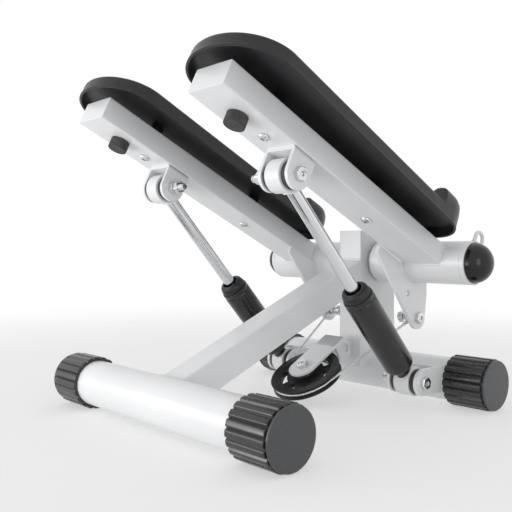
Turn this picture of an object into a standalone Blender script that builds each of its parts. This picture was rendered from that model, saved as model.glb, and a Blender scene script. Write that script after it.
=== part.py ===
"""Mini stepper for home exercise, built the way the real one is.

A steel frame stands on two round cross tubes with ribbed end caps. A sloping
beam joins the near tube to a post on the far tube. Two pedals turn on one
axle through the post. Each pedal is a pivot tube, a box arm, a moulded
footplate and a lever plate. A hydraulic damper stands under each arm. A steel
cable runs from lever to lever round a pulley, so one pedal rises as the other
goes down.

Metres, +Z up, +X to the right, +Y from the near tube to the pedal axle. The
origin is on the floor, in the middle of the outer box. Run it with Blender.
"""

import math

import bmesh
import bpy
from mathutils import Matrix, Vector

# Overall sizes
FRAME_WIDTH = 0.364
WHEELBASE = 0.320
PIVOT_HEIGHT = 0.165
ARM_ANGLE = math.radians(26.0)
GAP = 0.0003
THROUGH = 0.030

# Cross tubes and their ribbed end caps
STAB_R = 0.025
STAB_WALL = 0.002
CAP_WALL = 0.0042
CAP_LENGTH = 0.0514
CAP_RIBS = 20
CAP_GROOVE = 0.0016
RIB_CREST = 0.29
CAP_FLOOR = 0.0050
CAP_DISC = 0.93

# Beam and post
BEAM_WIDTH = 0.035
BEAM_HEIGHT = 0.033
BEAM_ANGLE = math.radians(22.9)
POST_WIDTH = 0.035
POST_DEPTH = 0.070
POST_OVER_PIVOT = 0.039
POST_FOOT = 0.034
BOX_WALL = 0.002

# Pedal axle and pivot tubes
AXLE_R = 0.010
AXLE_CLEARANCE = 0.0003
PIVOT_R = 0.0252
PIVOT_WALL = 0.0025
PIVOT_INNER_X = 0.0235
PIVOT_OUTER_X = 0.1545
BUSH_LENGTH = 0.022
BUSH_FLANGE_R = 0.0215
AXLE_NUT = 0.010
AXLE_INSET = 0.0085
AXLE_FLATS = 0.030
PLUG_DOME = 0.0205
PLUG_SKIRT = 0.0060

# Pedal arms
ARM_X = 0.100
ARM_WIDTH = 0.050
ARM_HEIGHT = 0.025
ARM_LENGTH = 0.378
ARM_WALL = 0.002

# Footplates, along the arm from the pivot
SIDE_SHIFT = 0.005
PLATE_START = 0.034
PLATE_END = 0.396
PLATE_HALF = 0.0565
PLATE_HALF_FREE = 0.0625
PLATE_NOSE = 0.047
PLATE_CORNER = 0.040
PLATE_OVER_ARM = 0.0025
PLATE_DEPTH = 0.0138
PLATE_SKIN = 0.0032
DECK_DROP = 0.0022
TOE_HEIGHT = 0.0152
TOE_LEAN = 0.011
TOE_START = 0.1015
TOE_FULL = 0.0940
SCREW_ALONG = (0.135, 0.301)
SCREW_R = 0.0024
SCREW_HOLE_R = 0.0028
SCREW_HEAD_R = 0.0058
SCREW_HEAD = 0.0032
BOSS_R = 0.0075
RIB_THICK = 0.0024
RIB_ALONG = (0.080, 0.190, 0.245, 0.345)

# Buffers under the arms
BUMPER_ALONG = 0.336
BUMPER_R = 0.0105
BUMPER_HEIGHT = 0.0112

# Dampers
EYE_ALONG = 0.2665
EYE_UNDER_ARM = 0.0227
LOWER_EYE_FROM_FAR = 0.0561
LOWER_EYE_Z = 0.0315
EYE_R = 0.0166
EYE_WIDTH = 0.0195
EYE_BORE_R = 0.0124
GROMMET_R = 0.0140
GROMMET_FLANGE = 0.0048
ROD_R = 0.007
GLAND_R = 0.0155
GLAND_HEIGHT = 0.0100
CYLINDER_LOW = 0.0236
CYLINDER_LENGTH = 0.112
CYLINDER_R = 0.0170
CYLINDER_BORE_R = 0.0146
PISTON_R = 0.0124
PISTON_LOW = 0.0716
PISTON_LENGTH = 0.012
GLAND_BORE_R = 0.0091
NECK_R = 0.0085

# Damper brackets, bent from strip
STRIP_WIDTH = 0.030
STRIP_THICK = 0.004
BRACKET_PLAY = 0.00115
WELD_DEPTH = 0.010

# Bolts and nuts, M8
BOLT_R = 0.004
BOLT_CLEARANCE = 0.0005
HEX_FLATS = 0.013
HEAD_HEIGHT = 0.0053
NUT_HEIGHT = 0.0065
BOLT_TAIL = 0.003
DAMPER_BOLT_TAIL = 0.009

# Lever plates and cable
LEVER_X = 0.0697
LEVER_THICK = 0.005
LEVER_BOLT = (0.0054, -0.0685)
LEVER_FOOT_R = 0.0143
LEVER_FRONT = (-0.0737, 0.0119)
LEVER_BACK = 0.0235
LEVER_HOLE = (-0.0153, -0.0376)
LEVER_HOLE_R = 0.0036
CABLE_R = 0.0015
EYELET_R = 0.0088
EYELET_THICK = 0.0034

# Cable pulley
PULLEY_FROM_FAR = 0.1151
PULLEY_Z = 0.031
PULLEY_R = 0.0428
PULLEY_WIDTH = 0.0110
HUB_TOP = 0.0090
HUB_UNDER = 0.0064
CABLE_PATH_R = 0.0400
PULLEY_WINDOWS = 5
WINDOW_INNER_R = 0.0190
WINDOW_OUTER_R = 0.0315
RIM_INNER_R = 0.0335
HUB_R = 0.0120
SPOKE_HALF = 11

# Pulley bracket, bent from sheet
SHEET = 0.003
BRACKET_HALF = 0.0175
BRACKET_UNDER = 0.0095
BRACKET_DEPTH = 0.023
BRACKET_WALLS = 0.0440
BRACKET_END = 0.0655
BRACKET_HOLE = (0.0588, 0.0010)
BRACKET_HOLE_R = 0.0058
STEM_HALF = 0.002
STEM_TOP = 0.066
STEM_LOW = 0.044

# Band eyes on the pivot tubes
EYE_X = 0.1515
EYE_WIRE_R = 0.0022
EYE_HALF = 0.0078
EYE_RISE = 0.0155
EYE_LEAN = math.radians(27)

# Facets round a circle
BIG_ROUND = 30
MID_ROUND = 16
SMALL_ROUND = 12

# Places that follow from the sizes above
CAP_R = STAB_R + CAP_WALL
CAP_FLAT = CAP_R * math.cos(2 * math.pi * RIB_CREST / CAP_RIBS)
NEAR_Y = -(WHEELBASE + POST_DEPTH / 2 - CAP_FLAT) / 2
FAR_Y = NEAR_Y + WHEELBASE
STAB_Z = CAP_FLAT
STAB_HALF = FRAME_WIDTH / 2 - CAP_FLOOR - GAP
POST_TOP = PIVOT_HEIGHT + POST_OVER_PIVOT
AXLE_SEAT = PIVOT_OUTER_X - AXLE_INSET - AXLE_NUT
PLATE_UNDER = ARM_HEIGHT / 2 + PLATE_OVER_ARM
PLATE_TOP = PLATE_UNDER + PLATE_DEPTH
DECK = PLATE_TOP - DECK_DROP
EYE_DROP = ARM_HEIGHT / 2 + EYE_UNDER_ARM
PIVOT = Vector((0, FAR_Y, PIVOT_HEIGHT))
ALONG = Vector((0, -math.cos(ARM_ANGLE), math.sin(ARM_ANGLE)))
UP = Vector((0, math.sin(ARM_ANGLE), math.cos(ARM_ANGLE)))
UPPER_EYE = PIVOT + EYE_ALONG * ALONG - EYE_DROP * UP
LOWER_EYE = Vector((0, FAR_Y - LOWER_EYE_FROM_FAR, LOWER_EYE_Z))
DAMPER = UPPER_EYE - LOWER_EYE
DAMPER_LENGTH = DAMPER.length
DAMPER_TILT = math.atan2(-DAMPER.y, DAMPER.z)
PULLEY = Vector((0, FAR_Y - PULLEY_FROM_FAR, PULLEY_Z))
LEVER_END = Vector((0, PIVOT.y + LEVER_BOLT[0], PIVOT.z + LEVER_BOLT[1]))
PULLEY_TILT = math.atan2(LEVER_END.z - PULLEY.z, LEVER_END.y - PULLEY.y)
BRACKET_INSIDE = EYE_WIDTH + 2 * (GAP + GROMMET_FLANGE + BRACKET_PLAY)
BRACKET_WIDTH = BRACKET_INSIDE + 2 * STRIP_THICK
BOLT_HOLE_R = BOLT_R + BOLT_CLEARANCE
CYLINDER_TOP = CYLINDER_LOW + CYLINDER_LENGTH
HEX_R = HEX_FLATS / math.sqrt(3)


def clear_scene():
    for thing in list(bpy.data.objects):
        bpy.data.objects.remove(thing, do_unlink=True)
    for data in (bpy.data.meshes, bpy.data.curves, bpy.data.materials):
        for item in list(data):
            data.remove(item)
    for group in list(bpy.data.collections):
        bpy.data.collections.remove(group)


clear_scene()
PARTS = bpy.data.collections.new("mini_stepper")
CUTTERS = bpy.data.collections.new("cutters")
for group in (PARTS, CUTTERS):
    bpy.context.scene.collection.children.link(group)


# Materials
def paint(name, colour, roughness, metallic=0.0):
    mat = bpy.data.materials.new(name)
    mat.use_nodes = True
    shader = mat.node_tree.nodes["Principled BSDF"]
    shader.inputs["Base Color"].default_value = (*colour, 1)
    shader.inputs["Roughness"].default_value = roughness
    shader.inputs["Metallic"].default_value = metallic
    mat.diffuse_color = (*colour, 1)
    return mat


def white_paint(name):
    return paint(name, (0.80, 0.81, 0.82), 0.32)


def black_plastic(name):
    return paint(name, (0.020, 0.021, 0.023), 0.42)


def gloss_black(name):
    return paint(name, (0.012, 0.012, 0.013), 0.16)


def black_rubber(name):
    return paint(name, (0.030, 0.030, 0.031), 0.75)


def bright_steel(name):
    return paint(name, (0.62, 0.63, 0.65), 0.22, 1.0)


def plated_steel(name):
    return paint(name, (0.50, 0.51, 0.53), 0.35, 1.0)


def nylon(name):
    return paint(name, (0.62, 0.62, 0.60), 0.55)


# Frames that the pieces are placed in
def frame(name, location, tilt=0.0, parent=None):
    empty = bpy.data.objects.new(name, None)
    empty.empty_display_size = 0.02
    empty.location = location
    empty.rotation_euler = (tilt, 0, 0)
    empty.parent = parent
    PARTS.objects.link(empty)
    return empty


# Basic shapes, each made as a mesh about its own origin
def finish_mesh(bm, name):
    bmesh.ops.recalc_face_normals(bm, faces=bm.faces)
    mesh = bpy.data.meshes.new(name)
    bm.to_mesh(mesh)
    bm.free()
    return mesh


def box_mesh(name, low, high):
    bm = bmesh.new()
    bmesh.ops.create_cube(bm, size=1.0)
    low, high = Vector(low), Vector(high)
    size = high - low
    bmesh.ops.scale(bm, vec=size, verts=bm.verts)
    bmesh.ops.translate(bm, vec=(low + high) / 2, verts=bm.verts)
    return finish_mesh(bm, name)


def rod_along_x(bm, x0, x1, y, z, radius, sides, turn=0.0):
    """A cylinder or prism whose axis lies along X."""
    spin = Matrix.Rotation(math.pi / 2, 4, "Y") @ Matrix.Rotation(turn, 4, "Z")
    place = Matrix.Translation(((x0 + x1) / 2, y, z)) @ spin
    bmesh.ops.create_cone(bm, cap_ends=True, segments=sides, radius1=radius,
                          radius2=radius, depth=abs(x1 - x0), matrix=place)


def rod_along_z(bm, z0, z1, x, y, radius, sides, turn=0.0):
    """A cylinder or prism whose axis lies along Z."""
    place = Matrix.Translation((x, y, (z0 + z1) / 2)) @ Matrix.Rotation(turn, 4, "Z")
    bmesh.ops.create_cone(bm, cap_ends=True, segments=sides, radius1=radius,
                          radius2=radius, depth=abs(z1 - z0), matrix=place)


def arc(cx, cy, radius, start, end, steps):
    """Points on an arc, angles in degrees."""
    points = []
    for i in range(steps + 1):
        a = math.radians(start + (end - start) * i / steps)
        points.append((cx + radius * math.cos(a), cy + radius * math.sin(a)))
    return points


def curve_to_mesh(name, curve):
    """The curve's own solid as a mesh."""
    holder = bpy.data.objects.new(name + "_curve", curve)
    CUTTERS.objects.link(holder)
    graph = bpy.context.evaluated_depsgraph_get()
    mesh = bpy.data.meshes.new_from_object(holder.evaluated_get(graph))
    bpy.data.objects.remove(holder)
    bpy.data.curves.remove(curve)
    bm = bmesh.new()
    bm.from_mesh(mesh)
    bpy.data.meshes.remove(mesh)
    bmesh.ops.remove_doubles(bm, verts=bm.verts, dist=0.00001)
    return finish_mesh(bm, name)


def wire_mesh(name, points, radius, resolution):
    """A round wire along the given points, with closed ends."""
    curve = bpy.data.curves.new(name, "CURVE")
    curve.dimensions = "3D"
    curve.bevel_depth = radius
    curve.bevel_resolution = resolution
    curve.use_fill_caps = True
    spline = curve.splines.new("POLY")
    spline.points.add(len(points) - 1)
    for p, place in zip(spline.points, points):
        p.co = (*place, 1)
    return curve_to_mesh(name, curve)


def outline_mesh(name, points, thickness, holes=()):
    """A flat outline in XY with the given thickness along Z, centred on Z = 0."""
    curve = bpy.data.curves.new(name, "CURVE")
    curve.dimensions = "2D"
    curve.fill_mode = "BOTH"
    curve.extrude = thickness / 2
    for loop in (points, *holes):
        spline = curve.splines.new("POLY")
        spline.points.add(len(loop) - 1)
        for p, (x, y) in zip(spline.points, loop):
            p.co = (x, y, 0, 1)
        spline.use_cyclic_u = True
    return curve_to_mesh(name, curve)


# Outline axes turned so that the thickness runs along X, or stays along Z
FACING_X = Matrix(((0, 0, 1, 0), (1, 0, 0, 0), (0, 1, 0, 0), (0, 0, 0, 1)))


def add(name, mesh, mat, parent, location=(0, 0, 0), rotation=(0, 0, 0)):
    """One named part, in the collection of parts."""
    mesh.materials.append(mat)
    mesh.shade_smooth()
    mesh.set_sharp_from_angle(angle=math.radians(32))
    obj = bpy.data.objects.new(name, mesh)
    obj.parent = parent
    obj.location = location
    obj.rotation_euler = rotation
    PARTS.objects.link(obj)
    return obj


def cutter(name, mesh, parent=None, location=(0, 0, 0), rotation=(0, 0, 0)):
    """A shape that cuts or joins others and isn't a part itself."""
    obj = bpy.data.objects.new(name, mesh)
    obj.parent = parent
    obj.location = location
    obj.rotation_euler = rotation
    obj.display_type = "WIRE"
    obj.hide_render = True
    CUTTERS.objects.link(obj)
    return obj


def combine(obj, other, operation):
    step = obj.modifiers.new(other.name, "BOOLEAN")
    step.operation = operation
    step.solver = "EXACT"
    step.object = other
    return obj


def cut(obj, *others):
    for other in others:
        combine(obj, other, "DIFFERENCE")
    return obj


def join(obj, *others):
    for other in others:
        combine(obj, other, "UNION")
    return obj


def profile_mesh(name, points, closed):
    """A profile in XZ: points are (radius, height)."""
    bm = bmesh.new()
    verts = [bm.verts.new((r, 0, h)) for r, h in points]
    for a, b in zip(verts, verts[1:]):
        bm.edges.new((a, b))
    if closed:
        bm.edges.new((verts[-1], verts[0]))
    mesh = bpy.data.meshes.new(name)
    bm.to_mesh(mesh)
    bm.free()
    return mesh


def spin_profile(obj, sides):
    step = obj.modifiers.new("turned", "SCREW")
    step.axis = "Z"
    step.steps = sides
    step.render_steps = sides
    step.use_merge_vertices = True
    step.merge_threshold = 0.00001
    step.use_smooth_shade = True
    return obj


def turned(name, points, sides, mat, parent, location=(0, 0, 0), rotation=(0, 0, 0)):
    """A turned part. The points run down the outer side, top to bottom."""
    closed = points[0][0] > 0
    obj = add(name, profile_mesh(name, points, closed), mat, parent, location, rotation)
    return spin_profile(obj, sides)


def turned_cutter(name, points, sides, parent, location=(0, 0, 0), rotation=(0, 0, 0)):
    closed = points[0][0] > 0
    obj = cutter(name, profile_mesh(name, points, closed), parent, location, rotation)
    return spin_profile(obj, sides)


def x_rod_cutter(name, x0, x1, y, z, radius, sides, parent=None):
    bm = bmesh.new()
    rod_along_x(bm, x0, x1, y, z, radius, sides)
    return cutter(name, finish_mesh(bm, name), parent)


def tube_profile(outer, inner, low, high):
    return [(outer, high), (outer, low), (inner, low), (inner, high)]


def along_x(side):
    """Turns a part's own Z to point outboard on the given side."""
    return (0, side * math.pi / 2, 0)


def word(side):
    return "right" if side > 0 else "left"


# Frame: cross tubes with ribbed end caps
def stabiliser(name, y):
    points = tube_profile(STAB_R, STAB_R - STAB_WALL, -STAB_HALF, STAB_HALF)
    return turned(name, points, BIG_ROUND, white_paint("white_" + name), None,
                  (0, y, STAB_Z), along_x(1))


def cap_ring(bm, x, radius, groove):
    """One ring of the cap: broad crests at the radius, with a groove of the given depth between."""
    verts = []
    for rib in range(CAP_RIBS):
        for share, depth in ((-0.5, groove), (-RIB_CREST, 0), (RIB_CREST, 0)):
            turn = 2 * math.pi * (rib + share) / CAP_RIBS
            r = radius - depth
            verts.append(bm.verts.new((-r * math.cos(turn), r * math.sin(turn), x)))
    return verts


def ribbed_cap(name, side, y):
    """A push-on cap. It is a loft from rings that run from a round to a ribbed section."""
    bm = bmesh.new()
    edge = CAP_R - 0.0008
    disc = CAP_R * CAP_DISC
    length = CAP_LENGTH
    rings = (
        (0.0, edge, CAP_GROOVE * 0.8),
        (0.0012, CAP_R, CAP_GROOVE),
        (length - 0.0052, CAP_R, CAP_GROOVE),
        (length - 0.0022, disc, CAP_GROOVE * 0.2),
        (length, disc - 0.0012, 0.0),
    )
    loops = [cap_ring(bm, *ring) for ring in rings]
    count = len(loops[0])
    for low, high in zip(loops, loops[1:]):
        for i in range(count):
            j = (i + 1) % count
            bm.faces.new((low[i], low[j], high[j], high[i]))
    bm.faces.new(loops[0])
    bm.faces.new(loops[-1])
    cap = add(name, finish_mesh(bm, name), black_plastic("plastic_" + name), None,
              (side * (FRAME_WIDTH / 2 - length), y, STAB_Z), along_x(side))
    bore = [(0, length - CAP_FLOOR), (STAB_R + GAP, length - CAP_FLOOR), (STAB_R + GAP, -THROUGH),
            (0, -THROUGH)]
    cut(cap, turned_cutter("bore_" + name, bore, BIG_ROUND, cap))
    return cap


# Frame: beam, post and axle
def tube_cutter(name, y, z, radius):
    return x_rod_cutter(name, -THROUGH, THROUGH, y, z, radius, BIG_ROUND)


def main_beam():
    """A box tube coped onto the near tube and cut square to the post."""
    base = frame("beam_axis", (0, NEAR_Y, STAB_Z), BEAM_ANGLE)
    length = WHEELBASE / math.cos(BEAM_ANGLE)
    w, h = BEAM_WIDTH / 2, BEAM_HEIGHT / 2
    beam = add("main_beam", box_mesh("main_beam", (-w, 0, -h), (w, length, h)),
               white_paint("white_main_beam"), base)
    w, h = w - BOX_WALL, h - BOX_WALL
    hollow = box_mesh("beam_inside", (-w, -THROUGH, -h), (w, length + THROUGH, h))
    inside = cutter("beam_inside", hollow, base)
    cope = tube_cutter("beam_cope", NEAR_Y, STAB_Z, STAB_R + GAP)
    front = FAR_Y - POST_DEPTH / 2
    rest = box_mesh("beam_end", (-THROUGH, front - GAP, 0), (THROUGH, FAR_Y + length, length))
    end = cutter("beam_end", rest)
    return cut(beam, inside, cope, end)


def pivot_post():
    """A box tube on the far tube, closed on top, with a cross hole for the axle."""
    w, d = POST_WIDTH / 2, POST_DEPTH / 2
    low, high = (-w, FAR_Y - d, POST_FOOT), (w, FAR_Y + d, POST_TOP)
    post = add("pivot_post", box_mesh("pivot_post", low, high), white_paint("white_pivot_post"),
               None)
    w, d = w - BOX_WALL, d - BOX_WALL
    low, high = (-w, FAR_Y - d, 0), (w, FAR_Y + d, POST_TOP - BOX_WALL)
    inside = cutter("post_inside", box_mesh("post_inside", low, high))
    cope = tube_cutter("post_cope", FAR_Y, STAB_Z, STAB_R + GAP)
    hole = x_rod_cutter("post_axle_hole", -THROUGH, THROUGH, FAR_Y, PIVOT_HEIGHT, AXLE_R + GAP,
                        MID_ROUND)
    return cut(post, inside, cope, hole)


def pivot_axle():
    """A headed axle through the post and both pivot tubes, with a nut on its left end."""
    seat = AXLE_SEAT
    place = (0, FAR_Y, PIVOT_HEIGHT)
    head = box_nut("pivot_axle", seat, seat + AXLE_NUT)
    axle = add("pivot_axle", head, plated_steel("steel_pivot_axle"), None, place)
    join(axle, x_rod_cutter("axle_shank", -seat - AXLE_NUT, seat + 0.001, 0, 0, AXLE_R, MID_ROUND, axle))
    body = box_nut("pivot_axle_nut", -seat - AXLE_NUT, -seat)
    nut = add("pivot_axle_nut", body, plated_steel("steel_pivot_axle_nut"), None, place)
    bore = AXLE_R + 1.2 * GAP
    cut(nut, x_rod_cutter("axle_nut_bore", -seat - 0.02, -seat + 0.01, 0, 0, bore, MID_ROUND, nut))


def box_nut(name, x0, x1):
    """A large hexagon on the X axis."""
    bm = bmesh.new()
    rod_along_x(bm, x0, x1, 0, 0, AXLE_FLATS / math.sqrt(3), 6)
    return finish_mesh(bm, name)


# Pedals
def pivot_tube(side, pivot):
    name = word(side) + "_pivot_tube"
    points = tube_profile(PIVOT_R, PIVOT_R - PIVOT_WALL, PIVOT_INNER_X, PIVOT_OUTER_X)
    return turned(name, points, BIG_ROUND, white_paint("white_" + name), pivot, (0, 0, 0),
                  along_x(side))


def pivot_bushes(side, pivot):
    """Two sleeves pressed into the pivot tube, which run on the axle. The inner one is flanged."""
    outer = PIVOT_R - PIVOT_WALL - GAP
    bore = AXLE_R + AXLE_CLEARANCE
    name = word(side) + "_inner_bush"
    top, low = PIVOT_INNER_X + BUSH_LENGTH, POST_WIDTH / 2 + 2 * GAP
    points = [(outer, top), (outer, PIVOT_INNER_X - GAP), (BUSH_FLANGE_R, PIVOT_INNER_X - GAP),
              (BUSH_FLANGE_R, low), (bore, low), (bore, top)]
    turned(name, points, MID_ROUND, nylon("nylon_" + name), pivot, (0, 0, 0), along_x(side))
    name = word(side) + "_outer_bush"
    top = AXLE_SEAT - GAP
    points = tube_profile(outer, bore, top - BUSH_LENGTH, top)
    turned(name, points, MID_ROUND, nylon("nylon_" + name), pivot, (0, 0, 0), along_x(side))


def end_plug(side, pivot):
    """A glossy round-headed plug pushed into the outer end of the pivot tube."""
    name = word(side) + "_end_plug"
    head = PIVOT_R - 0.0010
    skirt = PIVOT_R - PIVOT_WALL - GAP
    seat = PIVOT_OUTER_X + GAP
    points = [(0, seat + PLUG_DOME)]
    for i in range(1, 7):
        a = i / 6 * math.pi / 2
        points.append((head * math.sin(a), seat + PLUG_DOME * math.cos(a)))
    points += [(skirt, seat), (skirt, seat - PLUG_SKIRT), (0, seat - PLUG_SKIRT)]
    return turned(name, points, MID_ROUND + 2, gloss_black("gloss_" + name), pivot, (0, 0, 0),
                  along_x(side))


def band_eye(side, pivot):
    """A bent wire eye on the pivot tube, which an exercise band hooks into."""
    name = word(side) + "_band_eye"
    foot = PIVOT_R - 0.004
    top = PIVOT_R + EYE_RISE - EYE_HALF - EYE_WIRE_R
    side_view = [(-EYE_HALF, foot), (-EYE_HALF, (foot + top) / 2)]
    side_view += arc(0, top, EYE_HALF, 180, 0, 8)
    side_view += [(EYE_HALF, (foot + top) / 2), (EYE_HALF, foot)]
    wire = wire_mesh(name, [(0, y, z) for y, z in side_view], EYE_WIRE_R, 1)
    eye = add(name, wire, white_paint("white_" + name), pivot,
              (side * EYE_X, 0, 0), (-EYE_LEAN, 0, 0))
    seat = x_rod_cutter("seat_" + name, side * (EYE_X - 0.01), side * (EYE_X + 0.01), 0, 0,
                        PIVOT_R + GAP, BIG_ROUND, pivot)
    return cut(eye, seat)


def pedal_arm(side, pivot, arm):
    """A box tube, closed at its free end and coped onto the pivot tube."""
    name = word(side) + "_pedal_arm"
    w, h = ARM_WIDTH / 2, ARM_HEIGHT / 2
    x = side * ARM_X
    body = add(name, box_mesh(name, (-w, -ARM_LENGTH, -h), (w, 0, h)),
               white_paint("white_" + name), arm, (x, 0, 0))
    inside = box_mesh("inside_" + name, (-w + ARM_WALL, -ARM_LENGTH + ARM_WALL, -h + ARM_WALL),
                      (w - ARM_WALL, THROUGH, h - ARM_WALL))
    cut(body, cutter("inside_" + name, inside, arm, (x, 0, 0)))
    reach = w + GAP
    cope = x_rod_cutter("cope_" + name, x - reach, x + reach, 0, 0, PIVOT_R + GAP, BIG_ROUND, pivot)
    holes = bmesh.new()
    for along in SCREW_ALONG:
        rod_along_z(holes, -THROUGH, THROUGH, x, -along, SCREW_HOLE_R, SMALL_ROUND)
    return cut(body, cope, cutter("holes_" + name, finish_mesh(holes, "holes_" + name), arm))


def lever_plate(side, pivot):
    """The plate under the pivot tube that pulls the cable."""
    name = word(side) + "_lever_plate"
    by, bz = LEVER_BOLT
    arm_under = -ARM_HEIGHT / 2 - GAP
    foot = Vector((0, LEVER_FRONT[0], LEVER_FRONT[1])).dot(ALONG)
    root = foot * ALONG + arm_under * UP
    reach = math.hypot(by - LEVER_FRONT[0], bz - LEVER_FRONT[1])
    heading = math.degrees(math.atan2(bz - LEVER_FRONT[1], by - LEVER_FRONT[0]))
    turn = heading - 90 - math.degrees(math.asin(LEVER_FOOT_R / reach))
    inner = 0.02 * ALONG + arm_under * UP
    outline = [(root.y, root.z), LEVER_FRONT]
    outline += arc(by, bz, LEVER_FOOT_R, turn, 0, 10)
    outline += [(LEVER_BACK, bz * 0.62), (LEVER_BACK, -0.002), (inner.y, inner.z)]
    hole = arc(by, bz, BOLT_HOLE_R, 0, 330, 11)
    small = arc(*LEVER_HOLE, LEVER_HOLE_R, 0, 324, 9)
    mesh = outline_mesh(name, outline, LEVER_THICK, (hole, small))
    mesh.transform(FACING_X)
    plate = add(name, mesh, white_paint("white_" + name), pivot,
                (side * (LEVER_X + LEVER_THICK / 2), 0, 0))
    bore = x_rod_cutter("bore_" + name, side * (LEVER_X - THROUGH), side * (LEVER_X + THROUGH), 0, 0,
                        PIVOT_R + GAP, BIG_ROUND, pivot)
    return cut(plate, bore)


# Footplates
def plate_half(along):
    """Half the footplate's width at a distance along the arm."""
    start, end = PLATE_START + PLATE_CORNER, PLATE_END - PLATE_NOSE
    share = (along - start) / (end - start)
    return PLATE_HALF + (PLATE_HALF_FREE - PLATE_HALF) * share


def plate_side(inset):
    """Half the footplate's outline, from the free end to the pivot end, as (across, along)."""
    points = []
    start, end = PLATE_START + PLATE_CORNER, PLATE_END - PLATE_NOSE
    for i in range(0, 8):
        a = math.radians(90 * i / 8)
        points.append(((PLATE_HALF_FREE - inset) * math.sin(a),
                       end + (PLATE_NOSE - inset) * math.cos(a)))
    rise = (TOE_START - TOE_FULL) / 4
    toe = [TOE_START - i * rise for i in range(5)]
    for along in (end, (end + TOE_START) / 2, *toe, start):
        points.append((plate_half(along) - inset, along))
    radius = PLATE_CORNER - inset
    centre = PLATE_HALF - PLATE_CORNER
    for i in range(1, 7):
        a = math.radians(90 * i / 6)
        points.append((centre + radius * math.cos(a), start - radius * math.sin(a)))
    points.append((0, PLATE_START + inset))
    return points


def plate_ring(bm, inset, height, lift=0.0, lean=0.0):
    """A closed ring of the footplate at a height above the arm's axis, lifted at the toe end."""
    half = plate_side(inset)
    whole = half + [(-x, a) for x, a in reversed(half[1:-1])]
    verts = []
    for x, along in whole:
        share = (TOE_START - along) / (TOE_START - TOE_FULL)
        share = max(0.0, min(1.0, share))
        rise = share * share * (3 - 2 * share)
        verts.append(bm.verts.new((x, -along - lean * rise, height + lift * rise)))
    return verts


def footplate(side, arm):
    """A moulded tray with a skirt, a raised lip and a curved toe stop, as a loft of rings."""
    name = word(side) + "_footplate"
    bm = bmesh.new()
    outside = [
        plate_ring(bm, 0.0000, PLATE_UNDER),
        plate_ring(bm, 0.0004, PLATE_TOP - 0.0022, TOE_HEIGHT * 0.40, TOE_LEAN * 0.15),
        plate_ring(bm, 0.0012, PLATE_TOP - 0.0006, TOE_HEIGHT * 0.94, TOE_LEAN * 0.80),
        plate_ring(bm, 0.0028, PLATE_TOP, TOE_HEIGHT, TOE_LEAN * 0.95),
        plate_ring(bm, 0.0044, PLATE_TOP - 0.0006, TOE_HEIGHT * 0.92, TOE_LEAN * 0.88),
        plate_ring(bm, 0.0050, PLATE_TOP - 0.0012, TOE_HEIGHT * 0.40, TOE_LEAN * 0.30),
        plate_ring(bm, 0.0058, DECK),
    ]
    inside = [
        plate_ring(bm, PLATE_SKIN, PLATE_UNDER),
        plate_ring(bm, PLATE_SKIN + 0.0006, DECK - PLATE_SKIN),
    ]
    count = len(outside[0])
    for loops in (outside, inside):
        for low, high in zip(loops, loops[1:]):
            for i in range(count):
                j = (i + 1) % count
                bm.faces.new((low[i], low[j], high[j], high[i]))
        bm.faces.new(loops[-1])
    for i in range(count):
        j = (i + 1) % count
        bm.faces.new((outside[0][i], outside[0][j], inside[0][j], inside[0][i]))
    x = side * ARM_X + SIDE_SHIFT
    plate = add(name, finish_mesh(bm, name), black_plastic("plastic_" + name), arm, (x, 0, 0))
    join(plate, plate_bosses(name, side, arm), plate_ribs(name, side, arm))
    pilots = bmesh.new()
    for along in SCREW_ALONG:
        rod_along_z(pilots, 0, DECK - 0.0030, side * ARM_X, -along, SCREW_R + GAP, SMALL_ROUND)
    return cut(plate, cutter("pilots_" + name, finish_mesh(pilots, "pilots_" + name), arm))


def plate_bosses(name, side, arm):
    """Screw bosses that stand on the arm."""
    bm = bmesh.new()
    for along in SCREW_ALONG:
        rod_along_z(bm, ARM_HEIGHT / 2 + GAP, DECK - 0.0010, side * ARM_X, -along, BOSS_R, SMALL_ROUND)
    return cutter("bosses_" + name, finish_mesh(bm, "bosses_" + name), arm)


def plate_ribs(name, side, arm):
    """Cross ribs under the deck, which stiffen it between the skirts."""
    bm = bmesh.new()
    centre = side * ARM_X + SIDE_SHIFT
    low, high = PLATE_UNDER + 0.0010, DECK - 0.0010
    for along in RIB_ALONG:
        reach = plate_half(along) - 0.0010
        place = Matrix.Translation((centre, -along, (low + high) / 2))
        size = Matrix.Diagonal((2 * reach, RIB_THICK, high - low, 1))
        bmesh.ops.create_cube(bm, size=1.0, matrix=place @ size)
    return cutter("ribs_" + name, finish_mesh(bm, "ribs_" + name), arm)


def footplate_screw(name, side, arm, along):
    """A pan-head screw, up through the arm into the footplate's boss."""
    top = DECK - 0.0045
    under = -ARM_HEIGHT / 2 - GAP
    low = under - SCREW_HEAD
    points = [(0, top), (SCREW_R, top), (SCREW_R, under), (SCREW_HEAD_R, under),
              (SCREW_HEAD_R - 0.0002, (under + low) / 2), (SCREW_HEAD_R - 0.0018, low), (0, low)]
    place = (side * ARM_X, -along, 0)
    turned(name, points, SMALL_ROUND, plated_steel("steel_" + name), arm, place)


def bumper(side, arm):
    """A rubber buffer under the arm's free end."""
    name = word(side) + "_bumper"
    under = -ARM_HEIGHT / 2 - GAP
    low = under - BUMPER_HEIGHT
    points = [(0, under), (BUMPER_R - 0.0004, under), (BUMPER_R, under - 0.0008),
              (BUMPER_R, low + 0.0010), (BUMPER_R - 0.0010, low), (0, low)]
    return turned(name, points, MID_ROUND, black_rubber("rubber_" + name), arm,
                  (side * ARM_X, -BUMPER_ALONG, 0))


# Damper brackets and their bolts
def bracket_outline(back):
    """A strip with one full-round end about the bolt, in (Y, Z): the round end points to -Z."""
    half = STRIP_WIDTH / 2
    points = [(half, back)]
    points += arc(0, 0, half, 0, -180, 12)
    points += [(-half, back)]
    return points


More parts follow.
